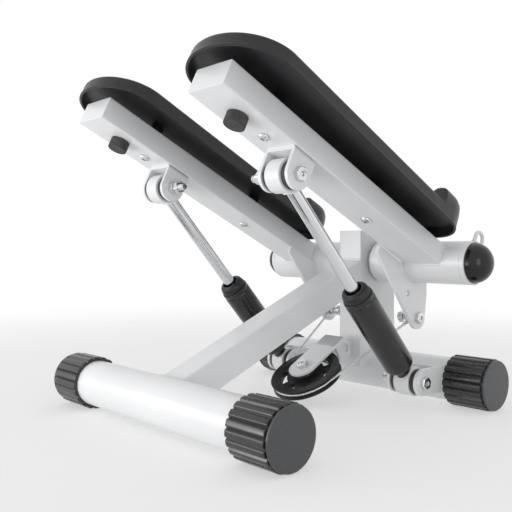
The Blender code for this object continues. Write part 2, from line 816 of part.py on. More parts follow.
def bracket_body(name, parent, location, rotation, height, back):
    """A U bent from strip: two round-ended ears, and a web at the given height over the bolt."""
    mesh = outline_mesh(name, bracket_outline(back), BRACKET_WIDTH)
    mesh.transform(FACING_X)
    body = add(name, mesh, white_paint("white_" + name), parent, location, rotation)
    inner = BRACKET_INSIDE / 2
    slot = box_mesh("slot_" + name, (-inner, -THROUGH, -THROUGH), (inner, THROUGH, height - STRIP_THICK))
    cut(body, cutter("slot_" + name, slot, body))
    bore = x_rod_cutter("bolt_" + name, -THROUGH, THROUGH, 0, 0, BOLT_HOLE_R, SMALL_ROUND, body)
    return cut(body, bore)


def upper_bracket(side, arm):
    """The bracket under the arm, ears down."""
    name = word(side) + "_upper_bracket"
    x = side * ARM_X + SIDE_SHIFT
    height = EYE_DROP - ARM_HEIGHT / 2 - GAP
    return bracket_body(name, arm, (x, -EYE_ALONG, -EYE_DROP), (0, 0, 0), height, height)


def lower_bracket(side):
    """The same strip, welded to the far tube, with its ears towards the near tube."""
    name = word(side) + "_lower_bracket"
    x = side * ARM_X + SIDE_SHIFT
    height = LOWER_EYE_FROM_FAR - STAB_R - GAP
    body = bracket_body(name, None, (x, LOWER_EYE.y, LOWER_EYE.z), (-math.pi / 2, 0, 0), height,
                        height + WELD_DEPTH)
    half = BRACKET_WIDTH
    cope = x_rod_cutter("cope_" + name, x - half, x + half, FAR_Y, STAB_Z, STAB_R + GAP, BIG_ROUND)
    return cut(body, cope)


def hex_mesh(name, low, high):
    bm = bmesh.new()
    rod_along_z(bm, low, high, 0, 0, HEX_R, 6, 0.3)
    return finish_mesh(bm, name)


def hex_bolt(name, grip, tail, parent, location, rotation):
    """A hex bolt with its nut run on. Its head stands on its origin and its shank points down."""
    bolt = add(name, hex_mesh(name, 0, HEAD_HEIGHT), plated_steel("steel_" + name), parent, location,
               rotation)
    nut = cutter("nut_" + name, hex_mesh("nut_" + name, -grip - NUT_HEIGHT, -grip), bolt)
    bm = bmesh.new()
    rod_along_z(bm, -grip - NUT_HEIGHT - tail, 0.001, 0, 0, BOLT_R, 12)
    return join(bolt, cutter("shank_" + name, finish_mesh(bm, "shank_" + name), bolt), nut)


def damper_bolt(name, side, y, z, parent):
    """The bolt through a damper's eye: head outboard, nut inboard."""
    seat = BRACKET_WIDTH / 2 + GAP
    x = side * (ARM_X + seat) + SIDE_SHIFT
    return hex_bolt(name, 2 * seat, DAMPER_BOLT_TAIL, parent, (x, y, z), along_x(side))


def cable_bolt(side, pivot):
    """The bolt that holds the cable's eyelet against the lever plate."""
    grip = LEVER_THICK + EYELET_THICK + 3 * GAP
    x = side * (LEVER_X + LEVER_THICK + GAP)
    return hex_bolt(word(side) + "_cable_bolt", grip, BOLT_TAIL, pivot, (x, *LEVER_BOLT), along_x(side))


# Dampers
def eye_bush(name, parent):
    """A rubber bush through an eye, with a flange at each side."""
    barrel = EYE_BORE_R - 1.3 * GAP
    end = EYE_WIDTH / 2 + GAP
    outer = end + GROMMET_FLANGE
    bore = BOLT_R + 1.3 * GAP
    points = [(GROMMET_R, outer), (GROMMET_R, end), (barrel, end), (barrel, -end), (GROMMET_R, -end),
              (GROMMET_R, -outer), (bore, -outer), (bore, outer)]
    return turned(name, points, MID_ROUND, black_rubber("rubber_" + name), parent, (0, 0, 0),
                  along_x(1))


def damper_cylinder(side, lower):
    """The damper's black tube with its closed end and neck."""
    name = word(side) + "_damper_cylinder"
    top, low = CYLINDER_TOP, CYLINDER_LOW
    floor, neck_end = low + 0.0060, EYE_R - 0.0030
    points = [(CYLINDER_R - 0.0010, top), (CYLINDER_R, top - 0.0012), (CYLINDER_R, low + 0.0050),
              (CYLINDER_R - 0.0020, low + 0.0014), (CYLINDER_R - 0.0055, low),
              (NECK_R, low - 0.0010), (NECK_R, neck_end), (0, neck_end), (0, floor),
              (CYLINDER_BORE_R, floor), (CYLINDER_BORE_R, top)]
    body = turned(name, points, MID_ROUND + 4, gloss_black("gloss_" + name), lower)
    return cut(body, eye_cut(name, lower))


def damper_gland(side, lower):
    """The rounded collar that closes the tube's mouth round the rod."""
    name = word(side) + "_damper_gland"
    top = CYLINDER_TOP + GLAND_HEIGHT
    seat = CYLINDER_TOP + GAP
    spigot = CYLINDER_BORE_R - 1.5 * GAP
    end = seat - 0.0090
    points = [(GLAND_BORE_R, top), (GLAND_R - 0.0030, top - 0.0006), (GLAND_R - 0.0006, top - 0.0030),
              (GLAND_R, top - 0.0060), (GLAND_R, seat), (spigot, seat), (spigot, end),
              (GLAND_BORE_R, end)]
    return turned(name, points, MID_ROUND, black_plastic("plastic_" + name), lower)


def damper_rod(side, upper):
    """The chromed rod with its piston, hung from the upper eye."""
    name = word(side) + "_damper_rod"
    end = PISTON_LOW - DAMPER_LENGTH
    step = end + PISTON_LENGTH
    points = [(0, -EYE_R + 0.0030), (ROD_R, -EYE_R + 0.0030), (ROD_R, step), (PISTON_R, step),
              (PISTON_R, end), (0, end)]
    rod = turned(name, points, MID_ROUND, bright_steel("chrome_" + name), upper)
    return cut(rod, eye_cut(name, upper))


def eye_cut(name, parent):
    return x_rod_cutter("eye_cut_" + name, -THROUGH, THROUGH, 0, 0, EYE_R + GAP, MID_ROUND + 6, parent)


def damper_eye(name, parent):
    """The ring welded to one end of a damper."""
    half = EYE_WIDTH / 2
    points = [(EYE_R - 0.0010, half), (EYE_R, half - 0.0010), (EYE_R, -half + 0.0010),
              (EYE_R - 0.0010, -half), (EYE_BORE_R, -half), (EYE_BORE_R, half)]
    return turned(name, points, MID_ROUND + 6, white_paint("white_" + name), parent, (0, 0, 0),
                  along_x(1))


# Cable, pulley and pulley bracket
def pulley(centre):
    """A grooved wheel with arc windows between its spokes and a hub that meets the bracket."""
    half = PULLEY_WIDTH / 2
    groove = CABLE_PATH_R - CABLE_R - GAP
    web = half - 0.0026
    lip = half - 0.0014
    bore = BOLT_R + GAP
    points = [(bore, HUB_TOP), (HUB_R - 0.0030, HUB_TOP), (HUB_R, web), (RIM_INNER_R - 0.0012, web),
              (RIM_INNER_R, half), (PULLEY_R, half), (PULLEY_R, lip), (groove, CABLE_R),
              (groove, -CABLE_R), (PULLEY_R, -lip), (PULLEY_R, -half), (RIM_INNER_R, -half),
              (RIM_INNER_R - 0.0012, -web), (HUB_R, -web), (HUB_R - 0.0030, -HUB_UNDER),
              (bore, -HUB_UNDER)]
    wheel = turned("pulley", points, BIG_ROUND, black_plastic("plastic_pulley"), centre)
    for i in range(PULLEY_WINDOWS):
        turn = 360 / PULLEY_WINDOWS
        reach = turn / 2 - SPOKE_HALF
        start = i * turn
        loop = arc(0, 0, WINDOW_OUTER_R, start - reach, start + reach, 4)
        loop += arc(0, 0, WINDOW_INNER_R, start + reach, start - reach, 3)
        window = "pulley_window_%d" % i
        cut(wheel, cutter(window, outline_mesh(window, loop, THROUGH), centre))
    return wheel


def pulley_bracket(centre):
    """A sheet tongue over the pulley with a round tip, folded down at both sides, on a stem."""
    half, end, top = BRACKET_HALF, BRACKET_END, BRACKET_UNDER + SHEET
    tongue = [(half, end), (-half, end)] + arc(0, 0, half, 180, 360, 12)
    mesh = outline_mesh("pulley_bracket", tongue, SHEET)
    mesh.transform(Matrix.Translation((0, 0, BRACKET_UNDER + SHEET / 2)))
    bracket = add("pulley_bracket", mesh, white_paint("white_pulley_bracket"), centre)
    for side in (1, -1):
        low = (min(side * half, side * (half - SHEET)), BRACKET_WALLS, top - BRACKET_DEPTH)
        high = (max(side * half, side * (half - SHEET)), end, top)
        name = word(side) + "_bracket_wall"
        join(bracket, cutter(name, box_mesh(name, low, high), centre))
    hole = bmesh.new()
    rod_along_x(hole, -THROUGH, THROUGH, *BRACKET_HOLE, BRACKET_HOLE_R, SMALL_ROUND)
    rod_along_z(hole, -THROUGH, THROUGH, 0, 0, BOLT_HOLE_R, SMALL_ROUND)
    cut(bracket, cutter("bracket_holes", finish_mesh(hole, "bracket_holes"), centre))
    return join(bracket, bracket_stem())


def bracket_stem():
    """The rib that carries the bracket, from the post's face to under the tongue."""
    front = FAR_Y - POST_DEPTH / 2 - GAP
    tilt = Matrix.Translation(PULLEY) @ Matrix.Rotation(PULLEY_TILT, 4, "X")
    corners = ((BRACKET_WALLS + 0.004, BRACKET_UNDER - 0.012), (BRACKET_WALLS, BRACKET_UNDER + 0.001),
               (BRACKET_END - 0.002, BRACKET_UNDER + 0.001))
    loop = [(p.y, p.z) for p in (tilt @ Vector((0, up, off)) for up, off in corners)]
    loop += [(front, STEM_TOP), (front, STEM_LOW)]
    mesh = outline_mesh("bracket_stem", loop, 2 * STEM_HALF)
    mesh.transform(FACING_X)
    return cutter("bracket_stem", mesh)


def cable_points():
    """In the cable's plane: the lever end's place, and the angle where the cable leaves the groove."""
    rise = (LEVER_END - PULLEY).length
    across = LEVER_X - GAP - EYELET_THICK / 2
    away = math.hypot(across, rise)
    leave = math.atan2(rise, across) - math.acos(CABLE_PATH_R / away)
    return across, rise, leave


def cable(centre):
    """The whole cable in its plane: an eyelet, a run, the wrap in the groove, a run and an eyelet."""
    across, rise, leave = cable_points()
    wrap = arc(0, 0, CABLE_PATH_R, math.degrees(leave), -180 - math.degrees(leave), 20)
    start, end = Vector(wrap[0]), Vector((across, rise))
    end -= (end - start).normalized() * (EYELET_R - 0.001)
    right = [tuple(end.lerp(start, i / 4)) for i in range(4)]
    left = [(-x, y) for x, y in reversed(right)]
    route = [(x, y, 0) for x, y in right + wrap + left]
    rope = add("cable", wire_mesh("cable", route, CABLE_R, 1), bright_steel("steel_cable"), centre)
    half = EYELET_THICK / 2
    y, z = LEVER_END.y, LEVER_END.z
    for side in (1, -1):
        x = side * across
        ring = x_rod_cutter(word(side) + "_eyelet", x - half, x + half, y, z, EYELET_R, MID_ROUND)
        bore = x_rod_cutter(word(side) + "_eyelet_bore", x - THROUGH, x + THROUGH, y, z, BOLT_HOLE_R,
                            SMALL_ROUND)
        cut(join(rope, ring), bore)
    return rope


def build_frame():
    for y, place in ((NEAR_Y, "near"), (FAR_Y, "far")):
        stabiliser(place + "_stabiliser_tube", y)
        for side in (1, -1):
            ribbed_cap(place + "_" + word(side) + "_end_cap", side, y)
    main_beam()
    pivot_post()
    pivot_axle()
    for side in (1, -1):
        lower_bracket(side)
        damper_bolt(word(side) + "_lower_damper_bolt", side, LOWER_EYE.y, LOWER_EYE.z, None)


def build_cable_drive():
    centre = frame("pulley_axis", PULLEY, PULLEY_TILT)
    pulley(centre)
    seat = BRACKET_UNDER + SHEET + GAP
    hex_bolt("pulley_bolt", seat + HUB_UNDER + GAP, BOLT_TAIL, centre, (0, 0, seat), (0, 0, 0))
    pulley_bracket(centre)
    cable(centre)


def build_pedal(side):
    pivot = frame(word(side) + "_pedal_axis", PIVOT)
    arm = frame(word(side) + "_arm_axis", (0, 0, 0), -ARM_ANGLE, pivot)
    pivot_tube(side, pivot)
    pivot_bushes(side, pivot)
    end_plug(side, pivot)
    band_eye(side, pivot)
    lever_plate(side, pivot)
    cable_bolt(side, pivot)
    pedal_arm(side, pivot, arm)
    footplate(side, arm)
    for end, along in zip(("front", "rear"), SCREW_ALONG):
        footplate_screw("%s_%s_screw" % (word(side), end), side, arm, along)
    bumper(side, arm)
    upper_bracket(side, arm)
    damper_bolt(word(side) + "_upper_damper_bolt", side, -EYE_ALONG, -EYE_DROP, arm)


def build_damper(side):
    x = side * ARM_X + SIDE_SHIFT
    lower = frame(word(side) + "_lower_eye_axis", (x, LOWER_EYE.y, LOWER_EYE.z), DAMPER_TILT)
    upper = frame(word(side) + "_upper_eye_axis", (x, UPPER_EYE.y, UPPER_EYE.z), DAMPER_TILT)
    damper_cylinder(side, lower)
    damper_gland(side, lower)
    damper_eye(word(side) + "_lower_eye", lower)
    eye_bush(word(side) + "_lower_eye_bush", lower)
    damper_rod(side, upper)
    damper_eye(word(side) + "_upper_eye", upper)
    eye_bush(word(side) + "_upper_eye_bush", upper)


build_frame()
build_cable_drive()
for hand in (1, -1):
    build_pedal(hand)
    build_damper(hand)
bpy.context.view_layer.update()
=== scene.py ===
"""Mini stepper, the detailed model for rendering, laid over its solid model.

Each operator makes one group of pieces, gives them their finish and lets them move with
the solids that they stand for.
"""

import math

import bmesh
import bpy
from bpy.props import FloatProperty, FloatVectorProperty, IntProperty, PointerProperty
from mathutils import Matrix, Vector


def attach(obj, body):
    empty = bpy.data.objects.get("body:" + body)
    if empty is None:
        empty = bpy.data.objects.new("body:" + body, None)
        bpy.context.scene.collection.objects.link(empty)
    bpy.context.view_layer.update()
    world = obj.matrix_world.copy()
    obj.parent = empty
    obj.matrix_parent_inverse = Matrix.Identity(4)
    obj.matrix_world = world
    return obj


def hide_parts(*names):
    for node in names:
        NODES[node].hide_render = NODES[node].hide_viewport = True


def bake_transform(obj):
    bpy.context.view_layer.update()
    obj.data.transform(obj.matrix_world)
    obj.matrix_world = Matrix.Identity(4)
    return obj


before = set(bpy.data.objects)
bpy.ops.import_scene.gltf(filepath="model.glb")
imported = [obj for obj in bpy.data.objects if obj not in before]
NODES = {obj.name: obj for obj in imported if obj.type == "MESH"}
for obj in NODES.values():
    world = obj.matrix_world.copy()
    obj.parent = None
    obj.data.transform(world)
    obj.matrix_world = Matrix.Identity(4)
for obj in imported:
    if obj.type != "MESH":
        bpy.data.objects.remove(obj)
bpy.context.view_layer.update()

bl_info = {
    "name": "Mini Stepper",
    "version": (1, 0, 0),
    "blender": (4, 5, 0),
    "location": "View3D > Sidebar > Stepper",
    "description": "Builds a mini stepper with twin dampers and a cable drive",
    "category": "Add Mesh",
}

# Places and sizes of the solid model
WHEELBASE = 0.320
STAB_R = 0.025
STAB_WALL = 0.002
CAP_R = 0.0292
CAP_LENGTH = 0.0514
CAP_RIBS = 20
RIB_CREST = 0.29
CAP_FACE_X = 0.182
BEAM = (0.035, 0.033)
POST = (0.035, 0.070)
STAB_Z = CAP_R * math.cos(2 * math.pi * RIB_CREST / CAP_RIBS)
NEAR_Y = -(WHEELBASE + POST[1] / 2 - STAB_Z) / 2
FAR_Y = NEAR_Y + WHEELBASE
PIVOT = Vector((0, FAR_Y, 0.165))
ARM_ANGLE = math.radians(26)
ALONG = Vector((0, -math.cos(ARM_ANGLE), math.sin(ARM_ANGLE)))
UP = Vector((0, math.sin(ARM_ANGLE), math.cos(ARM_ANGLE)))
BEAM_ANGLE = math.radians(22.9)
POST_TOP = 0.204
PIVOT_R = 0.0252
PIVOT_ENDS = (0.0235, 0.1545)
ARM_X = 0.100
ARM = (0.050, 0.025)
ARM_LENGTH = 0.378
SHIFT = 0.005
BUMPER_ALONG = 0.336
BAND_EYE_X = 0.1515
BAND_EYE_TILT = math.radians(27)
EYE_ALONG = 0.2665
EYE_DROP = 0.0352
EYE_R = 0.0166
EYE_HALF = 0.00975
LOWER_EYE = Vector((0, FAR_Y - 0.0561, 0.0315))
UPPER_EYE = PIVOT + EYE_ALONG * ALONG - EYE_DROP * UP
DAMPER_LENGTH = (UPPER_EYE - LOWER_EYE).length
DAMPER_TILT = math.atan2(LOWER_EYE.y - UPPER_EYE.y, UPPER_EYE.z - LOWER_EYE.z)
LEVER_BOLT = (0.0054, -0.0685)
LEVER_FRONT = (-0.0737, 0.0119)
LEVER_HOLE = (-0.0153, -0.0376)
LEVER_HOLE_R = 0.0036
LEVER_X = 0.0697
LEVER_THICK = 0.005
LEVER_END = PIVOT + Vector((0, *LEVER_BOLT))
PULLEY = Vector((0, FAR_Y - 0.1151, 0.031))
PULLEY_TILT = math.atan2(LEVER_END.z - PULLEY.z, LEVER_END.y - PULLEY.y)
CABLE_PATH_R = 0.040
CABLE_R = 0.0015
BRACKET_WIDTH = 0.040
BOLT_HOLE_R = 0.0045
EYE_BORE = 0.0124
SCREWS = {"front": 0.135, "rear": 0.301}
GAP = 0.0003
BEAD_SINK = 0.0004
ARM_SEAT = ARM[1] / 2 + GAP
POST_FRONT = FAR_Y - POST[1] / 2
CROSS_TUBES = (("near", NEAR_Y), ("far", FAR_Y))
SIDES = (1, -1)
HERE = Matrix.Identity(4)


def word(side):
    return "right" if side > 0 else "left"


def body_of(side, part="pedal"):
    """The moving body that a piece on a side rides on."""
    return word(side) + "_" + part


def turn_x(angle):
    return Matrix.Rotation(angle, 4, "X")


def offset(x, y, z):
    return Matrix.Translation((x, y, z))


def out_x(side):
    """Turns a piece's own Z outboard on a side."""
    return Matrix.Rotation(side * math.pi / 2, 4, "Y")


def pivot_place(side):
    return offset(*PIVOT) @ out_x(side)


def arm_place(side, across=0.0, along=0.0, height=0.0):
    """A place on an arm: X across, -Y along the arm to its free end, Z up from its axis."""
    return offset(*PIVOT) @ turn_x(-ARM_ANGLE) @ offset(side * ARM_X + across, -along, height)


def damper_place(side, end):
    eye = LOWER_EYE if end == "lower" else UPPER_EYE
    return offset(side * ARM_X + SHIFT, eye.y, eye.z) @ turn_x(DAMPER_TILT)


def pulley_place():
    return offset(*PULLEY) @ turn_x(PULLEY_TILT)


def beam_place():
    return offset(0, NEAR_Y, STAB_Z) @ turn_x(BEAM_ANGLE)


# Sizes and colours that a user can change
def colour(label, about, default):
    return FloatVectorProperty(name=label, description=about, default=default, size=3,
                               subtype="COLOR", min=0.0, max=1.0)


def length(label, about, default, low, high):
    return FloatProperty(name=label, description=about, default=default, min=low, max=high,
                         unit="LENGTH", precision=5)


def watts(label, about, default):
    return FloatProperty(name=label, description=about + " in watts", default=default, min=0, max=200)


class StepperFinish(bpy.types.PropertyGroup):
    """Colours of the stepper's finishes"""
    coat: colour("Powder coat", "Colour of the frame and arms", (0.80, 0.81, 0.82))
    plastic: colour("Black plastic", "Colour of caps and footplates", (0.020, 0.021, 0.023))
    gloss: colour("Gloss black", "Colour of end plugs and damper tubes", (0.012, 0.012, 0.013))
    rubber: colour("Rubber", "Colour of eye bushes and buffers", (0.026, 0.026, 0.027))
    chrome: colour("Chrome", "Colour of the damper rods", (0.72, 0.73, 0.75))
    zinc: colour("Zinc plate", "Colour of bolts, nuts and screws", (0.72, 0.73, 0.75))
    wire: colour("Wire", "Colour of the steel cable", (0.74, 0.74, 0.75))
    nylon: colour("Nylon", "Colour of the axle bushes", (0.62, 0.62, 0.60))


class StepperDetail(bpy.types.PropertyGroup):
    """Small sizes of the stepper's surfaces"""
    tube_corner: length("Tube corner", "Corner radius of the box tubes", 0.0022, 0.0010, 0.0060)
    edge: length("Edge", "Rounding of cut plate edges", 0.0005, 0.0002, 0.0009)
    weld: length("Weld bead", "Radius of the weld beads", 0.0016, 0.0008, 0.0030)
    rib_depth: length("Rib depth", "Depth of the grooves between cap ribs", 0.0021, 0.0008, 0.0026)
    tread_pitch: length("Tread pitch", "Distance between tread bars", 0.0100, 0.0060, 0.0200)
    tread_height: length("Tread height", "Height of a tread bar", 0.0009, 0.0004, 0.0014)
    strands: IntProperty(name="Cable strands", description="Strands laid round the cable's core",
                         default=6, min=3, max=8)


class StepperStage(bpy.types.PropertyGroup):
    """Camera, floor and lights"""
    lens: FloatProperty(name="Lens", description="Focal length of the camera", default=48.63,
                        min=20, max=120, unit="CAMERA")
    key: watts("Key light", "Power of the front light", 5.9)
    fill: watts("Fill light", "Power of the side light", 2.0)
    low: watts("Low light", "Power of the light near the floor", 3.5)
    world: FloatProperty(name="World light", description="Strength of the even light",
                         default=0.70, min=0, max=2)
    floor: colour("Floor", "Colour of the floor", (0.86, 0.86, 0.86))


def detail():
    return bpy.context.scene.stepper_detail


# Materials
NOISE_MIDDLE = (0.3, 0.7)


def set_inputs(node, values):
    for key, value in values.items():
        node.inputs[key].default_value = value


class Finish:
    """A material under construction: one Principled shader and the nodes that feed it."""

    def __init__(self, name, base, roughness, metallic=0.0, level=0.5):
        self.mat = bpy.data.materials.new(name)
        self.mat.use_nodes = True
        self.tree = self.mat.node_tree
        self.shader = self.tree.nodes["Principled BSDF"]
        set_inputs(self.shader, {"Base Color": (*base, 1), "Roughness": roughness, "Metallic": metallic,
                                 "Specular IOR Level": level})
        self.mat.diffuse_color = (*base, 1)
        self.coords = self.tree.nodes.new("ShaderNodeTexCoord").outputs["Object"]
        self.bump_before = None

    def node(self, kind, values=None, **settings):
        made = self.tree.nodes.new(kind)
        for key, value in settings.items():
            setattr(made, key, value)
        set_inputs(made, values or {})
        return made

    def link(self, source, target):
        self.tree.links.new(source, target)

    def maths(self, operation, *sources):
        """A Math node on sockets and numbers."""
        made = self.node("ShaderNodeMath", operation=operation)
        for socket, source in zip(made.inputs, sources):
            if isinstance(source, float):
                socket.default_value = source
            else:
                self.link(source, socket)
        return made.outputs[0]

    def along_damper(self, scales):
        """Object coordinates turned with the dampers, with a scale for each axis."""
        mapping = self.node("ShaderNodeMapping", {"Rotation": (DAMPER_TILT, 0, 0),
                                                  "Scale": [1 / s for s in scales]}, vector_type="TEXTURE")
        self.link(self.coords, mapping.inputs["Vector"])
        return mapping.outputs["Vector"]

    def noise(self, scale, fine, rough=0.55):
        """A noise on Object coordinates. Three scales in place of one draw it along the dampers."""
        drawn = isinstance(scale, tuple)
        tex = self.node("ShaderNodeTexNoise", {"Scale": 1 if drawn else scale, "Detail": fine,
                                               "Roughness": rough})
        self.link(self.along_damper(scale) if drawn else self.coords, tex.inputs["Vector"])
        return tex.outputs["Fac"]

    def raised_past(self, reach, value):
        """Half of a value, and 1 more on what lies farther out along X than reach."""
        axes = self.node("ShaderNodeSeparateXYZ")
        self.link(self.coords, axes.inputs[0])
        past = self.maths("GREATER_THAN", self.maths("ABSOLUTE", axes.outputs["X"]), reach)
        return self.maths("MULTIPLY_ADD", value, 0.5, past)

    def spread(self, value, low, high):
        """Maps a texture's middle range to low..high."""
        start, end = NOISE_MIDDLE
        ramp = self.node("ShaderNodeMapRange", {"From Min": start, "From Max": end, "To Min": low,
                                                "To Max": high})
        self.link(value, ramp.inputs["Value"])
        return ramp.outputs["Result"]

    def vary_roughness(self, value, low, high):
        self.link(self.spread(value, low, high), self.shader.inputs["Roughness"])

    def vary_colour(self, value, dark, light):
        mix = self.node("ShaderNodeMix", {"A": (*dark, 1), "B": (*light, 1)}, data_type="RGBA")
        self.link(self.spread(value, 0.0, 1.0), mix.inputs["Factor"])
        self.link(mix.outputs["Result"], self.shader.inputs["Base Color"])

    def bump(self, value, strength, distance):
        made = self.node("ShaderNodeBump", {"Strength": strength, "Distance": distance})
        self.link(value, made.inputs["Height"])
        if self.bump_before is not None:
            self.link(self.bump_before, made.inputs["Normal"])
        self.bump_before = made.outputs["Normal"]
        self.link(self.bump_before, self.shader.inputs["Normal"])

    def fade_out(self, near, far, least):
        """Lets the backdrop show through: a least share up to near, and all of it past far."""
        away = self.node("ShaderNodeVectorMath", operation="LENGTH")
        self.link(self.coords, away.inputs[0])
        share = self.node("ShaderNodeMapRange", {"From Min": near, "From Max": far, "To Min": least},
                          interpolation_type="SMOOTHSTEP")
        self.link(away.outputs["Value"], share.inputs["Value"])
        clear = self.node("ShaderNodeBsdfTransparent")
        mix = self.node("ShaderNodeMixShader")
        for socket, source in zip(mix.inputs, (share.outputs["Result"], self.shader.outputs[0],
                                               clear.outputs[0])):
            self.link(source, socket)
        self.link(mix.outputs[0], self.tree.nodes["Material Output"].inputs["Surface"])


def scaled(base, factor):
    return tuple(min(1.0, c * factor) for c in base)


# Each finish has its slot, its colour and what its shader starts from. Its tint and sheen hold two ends and
# then a noise: shares of the colour, and roughness. Each bump holds strength and distance and then a noise
FINISHES = {
    # White, with a fine orange peel, slow colour drift and faint handling marks
    "powder_coat": {
        "slot": "white_paint", "colour": "coat", "start": (0.34,), "coat": (0.25, 0.14),
        "tint": (0.965, 1.015, 9, 3), "sheen": (0.30, 0.40, 60, 5),
        "bumps": ((0.16, 0.00030, 520, 2, 0.45), (0.05, 0.0010, 70, 2))},
    # Satin black moulding with a fine spark-eroded grain
    "moulded_plastic": {
        "slot": "black_plastic", "colour": "plastic", "start": (0.36, 0.0, 0.38),
        "tint": (0.55, 0.90, 30, 4), "sheen": (0.31, 0.42, 140, 5), "bumps": ((0.12, 0.00010, 1100, 2),)},
    # The caps' harder black plastic, with glossy ribs, and its flat disc painted paler as a painted
    # reflection of the light it faces
    "cap_plastic": {
        "slot": "black_plastic", "colour": "plastic", "start": (0.26, 0.0, 0.65),
        # Past this reach the flat disc is painted paler, a painted reflection
        "painted_reflection_past": CAP_FACE_X - 0.0018,
        "tint": (0.6, 2.4, 45, 4), "sheen": (0.21, 0.32, 120, 5), "bumps": ((0.05, 0.00010, 700, 2),)},
    # Glossy injection-moulded black of the end plugs
    "plug_gloss": {
        "slot": "gloss_black", "colour": "gloss", "start": (0.16, 0.0, 0.40),
        "tint": (0.4, 0.8, 40, 3), "sheen": (0.12, 0.21, 50, 4), "bumps": ((0.05, 0.0004, 160, 2),)},
    # Black lacquer of the damper tubes, drawn lengthwise, with faint rub marks
    "tube_lacquer": {
        "slot": "gloss_paint", "colour": "gloss", "start": (0.18,),
        "tint": (0.8, 1.6, 40, 4), "sheen": (0.13, 0.25, (260, 260, 12), 4, 0.5),
        "bumps": ((0.07, 0.0003, 330, 2),)},
    # Ground and chromed rod, very smooth, with faint streaks along it
    "hard_chrome": {
        "slot": "bright_steel", "colour": "chrome", "start": (0.14, 1.0),
        "tint": (0.90, 1.06, (150, 150, 6), 2, 0.5), "sheen": (0.12, 0.18, 60, 3), "bumps": ()},
    # Bright zinc, a slightly cloudy plate over forged heads
    "zinc_plate": {
        "slot": "plated_steel", "colour": "zinc", "start": (0.24, 1.0),
        "tint": (0.82, 1.15, 240, 5), "sheen": (0.10, 0.24, 420, 4), "bumps": ((0.12, 0.00010, 900, 3),)},
    # Matt black rubber with a dusty bloom
    "moulded_rubber": {
        "slot": "black_rubber", "colour": "rubber", "start": (0.72,),
        "tint": (1.1, 2.3, 110, 5), "sheen": (0.62, 0.84, 300, 4), "bumps": ((0.30, 0.00012, 1300, 3),)},
    # Bright drawn wire, duller in places
    "cable_wire": {
        "slot": "wire_steel", "colour": "wire", "start": (0.30, 1.0),
        "tint": (0.65, 1.2, 700, 4), "sheen": (0.22, 0.42, 900, 3), "bumps": ()},
    # Natural nylon, slightly waxy
    "bush_nylon": {
        "slot": "nylon", "colour": "nylon", "start": (0.50,),
        "tint": (0.92, 1.05, 90, 4), "sheen": (0.44, 0.58, 200, 4), "bumps": ((0.12, 0.0002, 700, 3),)},
}


def finish_of(name):
    """A finish's material, made when it is first asked for."""
    if name in bpy.data.materials:
        return bpy.data.materials[name]
    look = FINISHES[name]
    base = tuple(getattr(bpy.context.scene.stepper_finish, look["colour"]))
    made = Finish(name, base, *look["start"])
    dark, light, *noise = look["tint"]
    value = made.noise(*noise)
    # Painted reflection: what lies past the reach is painted paler
    if "painted_reflection_past" in look:
        value = made.raised_past(look["painted_reflection_past"], value)
    made.vary_colour(value, scaled(base, dark), scaled(base, light))
    low, high, *noise = look["sheen"]
    made.vary_roughness(made.noise(*noise), low, high)
    for strength, distance, *noise in look["bumps"]:
        made.bump(made.noise(*noise), strength, distance)
    if "coat" in look:
        weight, roughness = look["coat"]
        set_inputs(made.shader, {"Coat Weight": weight, "Coat Roughness": roughness})
    return made.mat


# Making meshes
CORNER_REACH = 0.49


def corner(before, here, after, radius, steps):
    """A rounded corner as points, drawn as a curve from one straight to the next."""
    a, p, b = Vector(before), Vector(here), Vector(after)
    first = p + (a - p).normalized() * min(radius, (a - p).length * CORNER_REACH)
    last = p + (b - p).normalized() * min(radius, (b - p).length * CORNER_REACH)
    points = []
    for i in range(steps + 1):
        t = i / steps
        points.append(tuple((1 - t) ** 2 * first + 2 * t * (1 - t) * p + t * t * last))
    return points


def rounded(points, closed, steps=4):
    """An outline with its corners rounded. A point's third number is its corner radius."""
    made = []
    count = len(points)
    for i, point in enumerate(points):
        inner = closed or 0 < i < count - 1
        if len(point) == 3 and inner:
            made += corner(points[i - 1][:2], point[:2], points[(i + 1) % count][:2], point[2], steps)
        else:
            made.append(tuple(point[:2]))
    return made


def arc(cx, cy, radius, start, end, steps):
    """Points on an arc, angles in degrees."""
    turns = [math.radians(start + (end - start) * i / steps) for i in range(steps + 1)]
    return [(cx + radius * math.cos(a), cy + radius * math.sin(a)) for a in turns]


def moved(bm, place):
    bmesh.ops.transform(bm, matrix=place, verts=bm.verts)
    return bm


def cleaned(bm):
    """Merges doubled points and turns every face outward."""
    bmesh.ops.remove_doubles(bm, verts=bm.verts, dist=1e-6)
    bmesh.ops.recalc_face_normals(bm, faces=bm.faces)
    return bm


def soften(bm, edges, size, segments=2, profile=0.5, clamp=False):
    bmesh.ops.bevel(bm, geom=edges, offset=size, segments=segments, profile=profile, affect="EDGES",
                    clamp_overlap=clamp, material=-1)


def lathe(profile, steps, place=HERE, corner_steps=4):
    """A turned shape from (radius, height) points, spun about its own Z and put in place."""
    closed = profile[0][0] > 0
    points = rounded(profile, closed, corner_steps)
    bm = bmesh.new()
    verts = [bm.verts.new((r, 0, h)) for r, h in points]
    edges = [bm.edges.new(pair) for pair in zip(verts, verts[1:])]
    if closed:
        edges.append(bm.edges.new((verts[-1], verts[0])))
    bmesh.ops.spin(bm, geom=verts + edges, cent=(0, 0, 0), axis=(0, 0, 1), angle=math.tau,
                   steps=steps, use_merge=True, use_duplicate=False)
    return moved(cleaned(bm), place)


def linked(name, data):
    """A new object in the scene."""
    obj = bpy.data.objects.new(name, data)
    bpy.context.scene.collection.objects.link(obj)
    return obj


def mesh_from(name, bm):
    """A mesh made of a shape, which is used up."""
    mesh = bpy.data.meshes.new(name)
    bm.to_mesh(mesh)
    bm.free()
    return mesh


